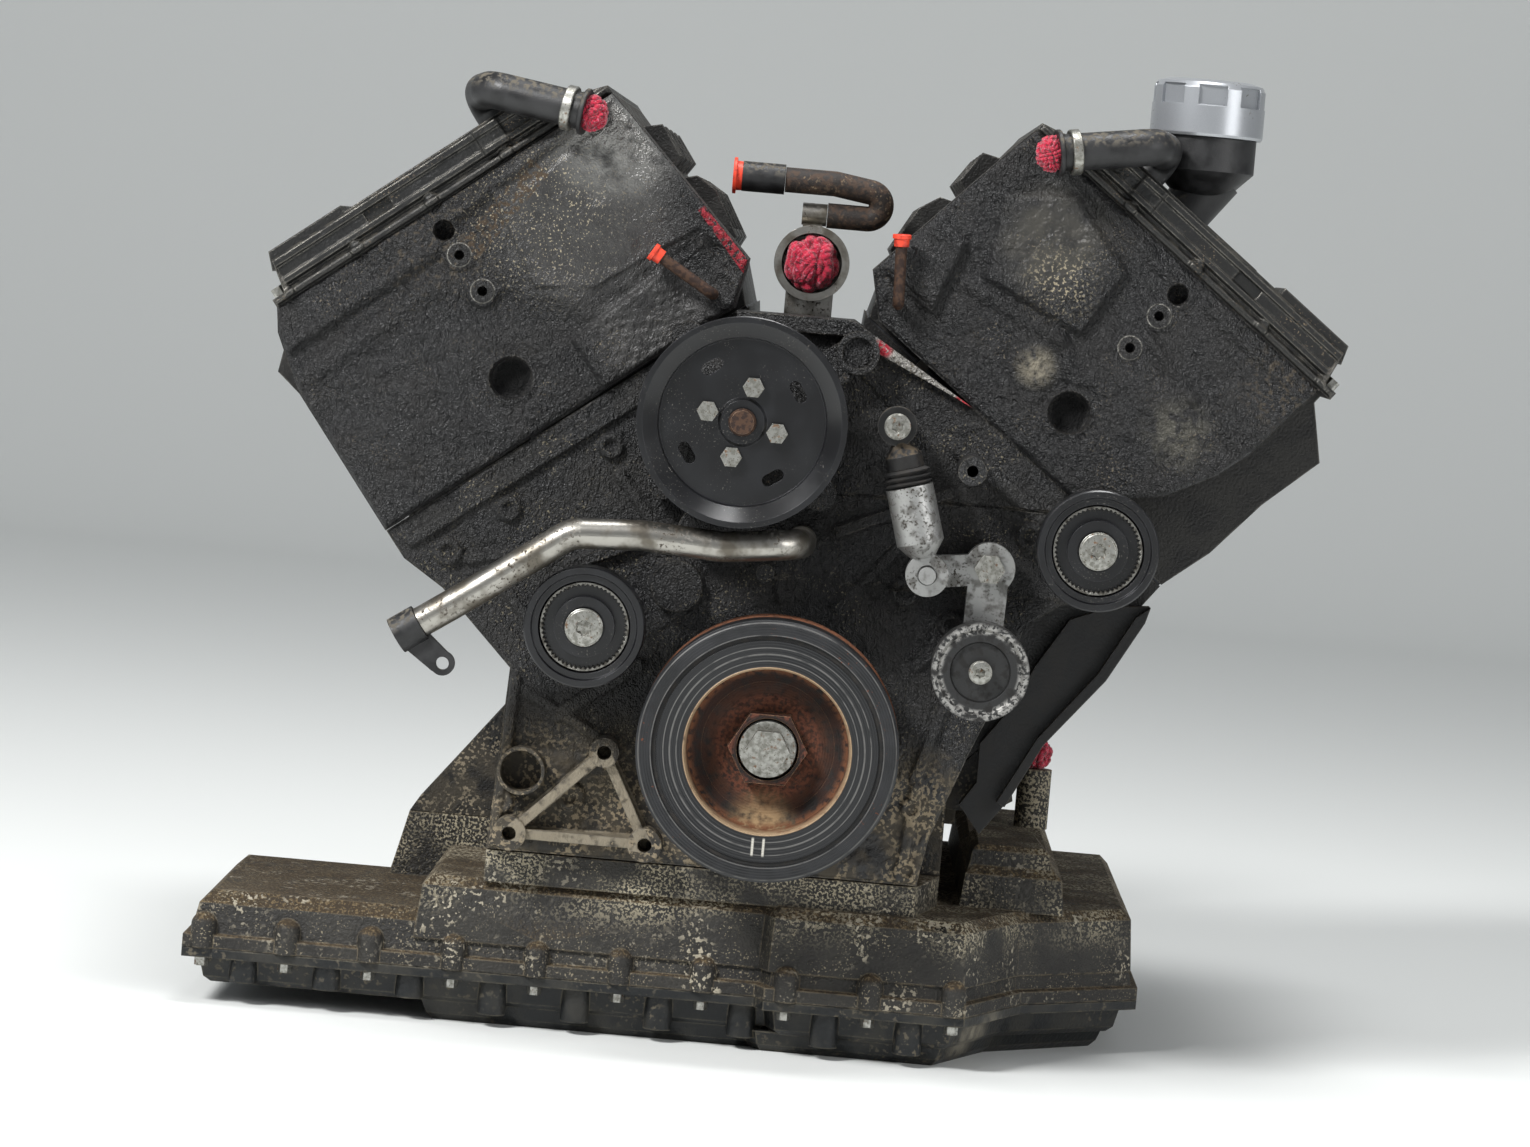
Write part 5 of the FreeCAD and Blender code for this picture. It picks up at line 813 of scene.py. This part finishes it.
def cover_skin(side):
    """Front skin of a timing cover. Its grid runs between the valley edge and the outer edge at each
    height up the bank; its height is the relief plus oil wrinkles, less the openings, and its rim
    turns down over a quarter circle."""
    name = "left" if side == LEFT else "right"
    edge = LEFT_EDGE if side == LEFT else RIGHT_EDGE
    ups = np.linspace(DECK + 0.4, COVER_JOINT - 0.4, 172)
    up, t = np.meshgrid(ups, np.linspace(0, 1, 290), indexing="ij")
    low, high = np.interp(ups, *VALLEY_EDGE)[:, None] + 0.4, np.interp(ups, *edge)[:, None] - 0.4
    out = low + (high - low) * t
    height = left_relief(out, up) if side == LEFT else right_relief(out, up)
    hump = rise(np.hypot(out + 90, up - 380), 74, 40) if side == LEFT else 0 * out
    height += oil_grain(out, up) * (1.7 - 1.45 * hump) + 1.1 * lumps(out, up, 17, 5)
    height = np.maximum(height, 0.7)
    rim = np.minimum.reduce([out - low, high - out, up - ups[0], ups[-1] - up])
    height = height * rolled(rim, 4.5)
    for corners, stand in LEFT_FIELDS if side == LEFT else RIGHT_FIELDS:
        height = np.maximum(height, stand * inside(out, up, corners, -4, -0.3) * (rim > 0.01))
    height -= 1.5 * (rim < 0.01)
    for place, radius in (((PLUG_OUT[side], PLUG_UP), 14.5), ((0, BREATHER_UP), 7.0)):
        height += 1.4 * spot(out, up, place, radius + 1, 4)
        height += (-8 - height) * spot(out, up, place, radius - 0.6, 1.2)
    for boss in BOSS_UPS:
        height += (4.8 - height) * spot(out, up, (0, boss), 9.5, 4)
        height += (-6 - height) * spot(out, up, (0, boss), 3.0, 1.0)
    x, z = bank_place(side, out, up)
    points = np.stack([x, -(CASE_FRONT + height), z], -1)
    surface(f"timing_cover_skin_{name}", [points], timing_cover_cast(side), "engine",
            flip=side == LEFT, sharp=60)


def cam_cover_skin(side):
    """Front skin of a cam cover, from the joint to its own top line: a bead over the joint with its
    bolt heads, a groove for the rubber seal, and a second bead under the roof."""
    name = "left" if side == LEFT else "right"
    outs = np.linspace(COVER_LINE[0][0] + 0.6, COVER_LINE[0][-1] - 0.6, 290)
    top = np.interp(outs, *COVER_LINE) - 0.5
    out, t = np.meshgrid(outs, np.linspace(0, 1, 44), indexing="ij")
    up = COVER_JOINT + 0.4 + (top[:, None] - COVER_JOINT - 0.4) * t
    height = 1.4 + 0.5 * lumps(out, up, 12, 8) + 0.35 * oil_grain(out, up)
    height += 3.4 * rise(np.abs(up - 444), 3.0, 2.0)
    height -= 1.6 * rise(np.abs(up - 449), 1.8, 0.8)
    height += 2.2 * rise(np.abs(up - 453.5), 2.8, 1.8)
    height += 2.4 * rise(np.abs(top[:, None] - 4.2 - up), 3.2, 2.2) * rise(top[:, None], 455, 465)
    height += 3.0 * inside(out, up, [(-74, 450), (-74, 480), (-52, 480), (-52, 450)], 0, 2)
    height -= 3.4 * inside(out, up, [(20, 456), (20, 465), (42, 465), (42, 456)], 0, 2)
    for place in (-128, -66, -4, 58, 116):
        height += 3.2 * spot(out, up, (place, 445.5), 4.4, 1.6)
    rim = np.minimum.reduce([out - outs[0], outs[-1] - out, top[:, None] - up, up - COVER_JOINT - 0.4])
    height = height * rolled(rim, 2.2) - 1.2 * (rim < 0.01)
    x, z = bank_place(side, out, up)
    points = np.stack([x, -(CASE_FRONT + 0.2 + height), z], -1)
    surface(f"cam_cover_skin_{name}", [points], cover_cast(), "engine",
            flip=side == RIGHT, sharp=50)


# Ribs of the timing case: both ends, half width and height. Bosses: place and radius
CASE_RIBS = (
    ((-262, 118), (-60, 270), 5, 4.5), ((-150, 110), (-60, 150), 5, 5), ((36, 150), (112, 184), 5, 5),
    ((-30, 66), (-120, 176), 4, 3.6), ((0, 100), (-10, 146), 4, 3.6), ((40, 96), (86, 150), 4, 3.6),
    ((98, 60), (150, 110), 4, 3.4), ((178, 172), (116, 214), 6, 3.8), ((104, -20), (128, 60), 4, 4.5),
    ((100, -90), (106, -24), 4, 5.5), ((-188, -88), (-182, 26), 5, 6.5), ((-150, 4), (-96, 44), 5, 4),
    ((-196, 92), (-150, 40), 4, 3.2), ((-222, 108), (-160, 122), 4, 3.4), ((-184, 24), (-122, -8), 4, 4),
    ((-62, 90), (-104, 60), 4, 3.2), ((56, 196), (108, 150), 4, 3.0), ((60, 250), (20, 286), 5, 3.0))
CASE_BOSSES = (
    (-73.9, 102.4, 18), (-12.8, 116.8, 7), (-64.7, 146, 11), (142.6, 134.6, 15), (-150, 84, 9),
    (-236, 112, 9), (-196, 146, 8), (-128, 196, 8), (86, 112, 9), (170, 158, 9), (120, 92, 8),
    (104, -40, 7), (104, -84, 8), (-184, -60, 8), (-136, -52, 9))


def case_skin():
    """Front skin of the timing case between the banks: ribs, bosses, a flange along the left bank and
    corroded steps by the foot. Its grid runs between the left and right outline at each height."""
    heights = np.linspace(-93.8, 284, 300)
    left = np.interp(heights, *CASE_LEFT_EDGE)[:, None] + 0.8
    right = np.interp(heights, *CASE_RIGHT_EDGE)[:, None] - 0.8
    z, t = np.meshgrid(heights, np.linspace(0, 1, 300), indexing="ij")
    x = left + (right - left) * t
    relief = 1.0 + 1.3 * lumps(x, z, 22, 11) + 0.7 * lumps(x, z, 9, 12) + 1.1 * oil_grain(x, z)
    for first, last, width, stand in CASE_RIBS:
        rib = rise(along_line(x, z, first, last, 2 * width), 0.25, 0.75)
        relief = np.maximum(relief, stand * rib + 0.5)
    for bx, bz, radius in CASE_BOSSES:
        relief = np.maximum(relief, 5.5 * spot(x, z, (bx, bz), radius, 2.5))
        relief -= 2.6 * spot(x, z, (bx, bz), radius * 0.45, 1.5)
    relief += (2.0 * rise(z, -52, -60) * rise(x, -110, -130)
               + 1.6 * rise(z, -20, -26) * rise(x, -126, -140))
    rim = np.minimum.reduce([x - left, right - x, z - heights[0], heights[-1] - z])
    relief = np.maximum(relief, 0.5) * rolled(rim, 4) - 1.5 * (rim < 0.01)
    for hx, hz, radius in ((0, 0, 35), (-171.3, -36, 14)):
        relief += (-6 - relief) * spot(x, z, (hx, hz), radius, 1.5)
    points = np.stack([x, -(CASE_FRONT + 0.3 + relief), z], -1)
    surface("timing_case_skin", [points], case_cast(), "engine", sharp=60)


def torx_face(place, radius, station):
    """Front of a torx bolt: a low crowned disc, rounded at its rim, with a six-lobed recess whose radius
    is 0.38 of the head's times 1 + 0.13 cos of six times the angle."""
    x, z = place
    distance = np.concatenate([np.linspace(0, 0.62, 26), np.linspace(0.66, 1.0, 12), [1.015]]) * radius
    angle = np.linspace(0, 2 * math.pi, 96, endpoint=False)
    away, turn = np.meshgrid(distance, angle, indexing="ij")
    lobe = 0.38 * radius * (1 + 0.13 * np.cos(6 * turn))
    height = 0.35 + 0.5 * (1 - (away / radius) ** 2) - 1.4 * rise(away, 0.9 * radius, 1.015 * radius)
    height -= 3.2 * rise(away, lobe + 0.3, lobe - 0.3)
    return np.stack([x + away * np.sin(turn), -(station + height), z + away * np.cos(turn)], -1)


# Station, radius and depth of the teeth, round the ring's section
TOOTHED_PROFILE = ((588.4, 30.7, 0), (588.4, 27.4, 1.9), (592.6, 27.8, 1.9), (593.6, 28.6, 1.4),
                   (593.6, 30.7, 0))


def toothed_ring(place):
    """Toothed ring in the mouth of an idler: a closed ring whose inner radius swings by saw teeth."""
    angle = np.linspace(0, 2 * math.pi, IDLER_TEETH * 4, endpoint=False)
    saw = np.abs(((angle * IDLER_TEETH / (2 * math.pi)) % 1) - 0.5) * 2
    rows = []
    for station, base, swing in TOOTHED_PROFILE:
        away = base + swing * saw
        rows.append(np.stack([place[0] + away * np.sin(angle), np.full(angle.shape, -station),
                              place[1] + away * np.cos(angle)], -1))
    return np.stack(rows)


def rag(centre, size, seed):
    """A rag stuffed in a port: a ball whose radius falls along creases. The creases are where slow waves
    along random directions pass zero."""
    turns = np.linspace(0, 2 * math.pi, 110, endpoint=False)
    polar, turn = np.meshgrid(np.linspace(0, math.pi, 60), turns, indexing="ij")
    way = np.stack([np.sin(polar) * np.cos(turn), np.cos(polar), np.sin(polar) * np.sin(turn)], -1)
    dice = np.random.default_rng(seed)
    depth = 0
    for share, pace in ((0.17, 3.2), (0.14, 4.6), (0.10, 7.0), (0.06, 11.0), (0.04, 17.0)):
        waves = way @ dice.normal(size=3) * pace + 1.4 * np.sin(way @ dice.normal(size=3) * 3)
        depth = depth + share * (1 - np.abs(np.sin(waves + dice.random() * 6))) ** 2
    return np.array(centre) + way * (1 - depth)[..., None] * np.array(size)


# Profiles of turned pieces, as (distance along the axis, radius)
HOSE_PLUG = ((-3, 0), (-3, 10.2), (3.4, 10.6), (3.6, 13.0), (5.6, 13.0), (6.0, 12.6), (6.0, 9.6),
             (2.2, 9.2), (2.2, 0))
TUBE_PLUG = ((0.3, 0), (0.3, 5.2), (5.6, 5.4), (5.8, 6.5), (8.4, 6.5), (8.8, 6.1), (8.8, 4.6),
             (5.0, 4.4), (5.0, 0))
CLAMP_BAND = ((-15, 13.15), (-15, 15.2), (-14.3, 15.9), (-8.7, 15.9), (-8, 15.2), (-8, 13.15))
ELBOW_LIP = ((-2.4, 13.15), (-2.4, 15.6), (-1.6, 16.4), (0.4, 16.4), (1.0, 15.8), (1.0, 12.6),
             (0.2, 12.6))


def elbow_run(side):
    """The last leg of an elbow: its mouth and the direction it points in."""
    x, z = bank_place(side, -129, COVER_TOP - 34)
    mouth = Vector((x, -CASE_FRONT - 30, z))
    x, z = bank_place(side, -82, COVER_TOP + 15)
    return mouth, (mouth - Vector((x, -CASE_FRONT - 19, z))).normalized()


class ENGINE_OT_cad_finishes(bpy.types.Operator):
    """Give each modelled part the finish of the real one"""

    bl_idname = "engine.cad_finishes"
    bl_label = "Finishes of the parts"

    def execute(self, context):
        for make, names in FINISHES.items():
            material = make()
            for name in names:
                wear(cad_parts[name], material)
        return {"FINISHED"}


class ENGINE_OT_cover_skins(bpy.types.Operator):
    """Make the relief and the oil wrinkles on the front of the covers and of the timing case"""

    bl_idname = "engine.cover_skins"
    bl_label = "Casting skins"

    def execute(self, context):
        for side in (LEFT, RIGHT):
            cover_skin(side)
            cam_cover_skin(side)
        case_skin()
        return {"FINISHED"}


class ENGINE_OT_bolt_faces(bpy.types.Operator):
    """Make the torx faces of the belt drive's bolts and the toothed rings inside the idlers"""

    bl_idname = "engine.bolt_faces"
    bl_label = "Bolt faces and idler rings"

    def execute(self, context):
        zinc = zinc_plate()
        drive = [torx_face(place, 13, IDLER_FRONT + 2.3) for place in (IDLER_LEFT, IDLER_RIGHT)]
        drive.append(torx_face(STRUT_TOP, 9, STRUT_BOLT_FACE))
        roller = [torx_face(ROLLER, 8, ROLLER_BOLT_FACE)]
        surface("belt_drive_bolt_faces", drive, zinc, "engine", (False, True), flip=True)
        surface("roller_bolt_face", roller, zinc, "tensioner", (False, True), flip=True)
        alloy = toothed_alloy()
        for name, place in (("idler_left", IDLER_LEFT), ("idler_right", IDLER_RIGHT)):
            surface(f"{name}_toothed_ring", [toothed_ring(place)], alloy, name,
                    (True, True), sharp=30, closed=True)
        return {"FINISHED"}


class ENGINE_OT_transit_covers(bpy.types.Operator):
    """Make the red plugs with their flanges, the crumpled rags and the clamps of the two elbows"""

    bl_idname = "engine.transit_covers"
    bl_label = "Plugs, rags and clamps"

    def execute(self, context):
        plugs = [turned(HOSE_PLUG, HOSE_MOUTH, (-1, 0, 0))]
        plugs += [turned(TUBE_PLUG, *self.stub(side)) for side in (LEFT, RIGHT)]
        piece = surface("transit_plugs", plugs, plug_plastic(), "engine", (False, True),
                        closed=True)
        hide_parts("transit_caps")

        rags = [rag(OUTLET_MOUTH, (21.6, 15, 21.6), 1), rag(SUMP_STUB, (13, 13, 13.5), 2)]
        runs = [elbow_run(side) for side in (LEFT, RIGHT)]
        rags += [rag(mouth + way * 5, (11.5, 11, 13.5), 5 + side) for (mouth, way), side
                 in zip(runs, (LEFT, RIGHT))]
        piece = surface("crumpled_rags", rags, rag_cloth(), "engine", (False, True),
                        sharp=180, closed=True)
        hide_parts("transit_rags")

        for name, profile, finish, slot in (
                ("elbow_clamp_bands", CLAMP_BAND, zinc_plate, "zinc_steel"),
                ("elbow_lips", ELBOW_LIP, moulded_plastic, "black_plastic")):
            grids = [turned(profile, *run) for run in runs]
            surface(name, grids, finish(), "engine", (True, True), closed=True)
        return {"FINISHED"}

    def stub(self, side):
        """Tip of a thin tube and the direction it points in, as the model has them."""
        out, up, run_x, run_z = (-135, 284.5, -37, 22) if side == LEFT else (-140, 286.2, -1.3, 39.7)
        x, z = bank_place(side, out, up)
        tip = Vector((x + run_x, -CASE_FRONT - 23, z + run_z))
        return tip, (tip - Vector((x, -CASE_FRONT - 21, z))).normalized()


class ENGINE_OT_stage(bpy.types.Operator):
    """Set up the floor, the backdrop, the lights and the camera"""

    bl_idname = "engine.stage"
    bl_label = "Stage"

    def execute(self, context):
        self.sweep(context)
        self.lights(context)
        self.camera(context)
        return {"FINISHED"}

    def sweep(self, context):
        """Floor that runs back and curves up to a wall: a quarter circle joins the two straight runs."""
        floor, back, bend = -222.0, 4200.0, 1500.0
        turn = np.linspace(0, math.pi / 2, 24)
        run = np.concatenate([[-6000.0], back + bend * np.sin(turn), [back + bend]])
        height = np.concatenate([[0.0], bend * (1 - np.cos(turn)), [6000.0]])
        x = np.array([-9000.0, 9000.0])
        points = np.stack(np.broadcast_arrays(x[None, :], run[:, None], height[:, None] + floor), -1)
        f = Finish("matt_backdrop_paper", context.scene.engine_stage.backdrop, 0.9, 0.0, 0)
        piece = surface("backdrop", [points], f.done(), None, flip=True)

    def lights(self, context):
        world = bpy.data.worlds.new("studio")
        context.scene.world = world
        world.use_nodes = True
        world.node_tree.nodes["Background"].inputs[0].default_value = (0.93, 0.96, 1.0, 1)
        world.node_tree.nodes["Background"].inputs[1].default_value = 0.28
        for name, place, aim, size, power in (
                ("key", (-1.9, -2.6, 2.5), (-0.1, -0.3, 0.2), 0.8, 150),
                ("fill", (2.7, -2.6, 1.2), (0.1, -0.3, 0.1), 1.4, 34),
                ("top", (0.2, -0.6, 3.0), (0, -0.3, 0.2), 1.0, 50)):
            lamp = bpy.data.lights.new(name, "AREA")
            lamp.energy = power
            lamp.size = size
            holder = bpy.data.objects.new(name, lamp)
            context.scene.collection.objects.link(holder)
            holder.location = place
            holder.rotation_euler = (Vector(aim) - Vector(place)).to_track_quat("-Z", "Y").to_euler()

    def camera(self, context):
        """Long lens in front of the engine, rolled as the engine leans in the picture."""
        stage = context.scene.engine_stage
        down = Vector((0.01635, 0.06221, -1.0)).normalized()
        upright = Vector((0.0872, 0.9962, 0.0634)).normalized()
        across = down.cross(upright)
        axes = [Vector((across[i], down[i], upright[i])) for i in range(3)]
        sight = Vector((0.0014, -0.1223, -stage.distance))
        lens = bpy.data.cameras.new("camera")
        lens.lens = stage.lens
        lens.sensor_width = 36.0
        lens.clip_start = 0.1
        lens.clip_end = 60.0
        camera = bpy.data.objects.new("camera", lens)
        context.scene.collection.objects.link(camera)
        camera.rotation_mode = "QUATERNION"
        camera.rotation_quaternion = Matrix(axes).transposed().to_quaternion()
        camera.location = Vector((0, -DAMPER_FACE * MM, 0)) - Matrix(axes).transposed() @ sight
        context.scene.camera = camera


class ENGINE_PT_panel(bpy.types.Panel):
    """Lists the steps that dress the engine."""

    bl_idname = "ENGINE_PT_panel"
    bl_label = "Engine"
    bl_space_type = "VIEW_3D"
    bl_region_type = "UI"
    bl_category = "Engine"

    def draw(self, context):
        for name in EngineFinish.__annotations__:
            self.layout.prop(context.scene.engine_finish, name)
        for name in StageSizes.__annotations__:
            self.layout.prop(context.scene.engine_stage, name)
        for step in STEPS:
            self.layout.operator(step.bl_idname)


STEPS = (
    ENGINE_OT_cad_finishes,
    ENGINE_OT_cover_skins,
    ENGINE_OT_bolt_faces,
    ENGINE_OT_transit_covers,
    ENGINE_OT_stage,
)
CLASSES = (EngineFinish, StageSizes) + STEPS + (ENGINE_PT_panel,)


def register():
    for kind in CLASSES:
        bpy.utils.register_class(kind)
    bpy.types.Scene.engine_finish = bpy.props.PointerProperty(type=EngineFinish)
    bpy.types.Scene.engine_stage = bpy.props.PointerProperty(type=StageSizes)


def unregister():
    del bpy.types.Scene.engine_stage
    del bpy.types.Scene.engine_finish
    for kind in reversed(CLASSES):
        bpy.utils.unregister_class(kind)


def main():
    register()
    for step in STEPS:
        group, name = step.bl_idname.split(".")
        getattr(getattr(bpy.ops, group), name)()
    bpy.context.scene.view_settings.view_transform = "Standard"


if __name__ == "__main__":
    main()
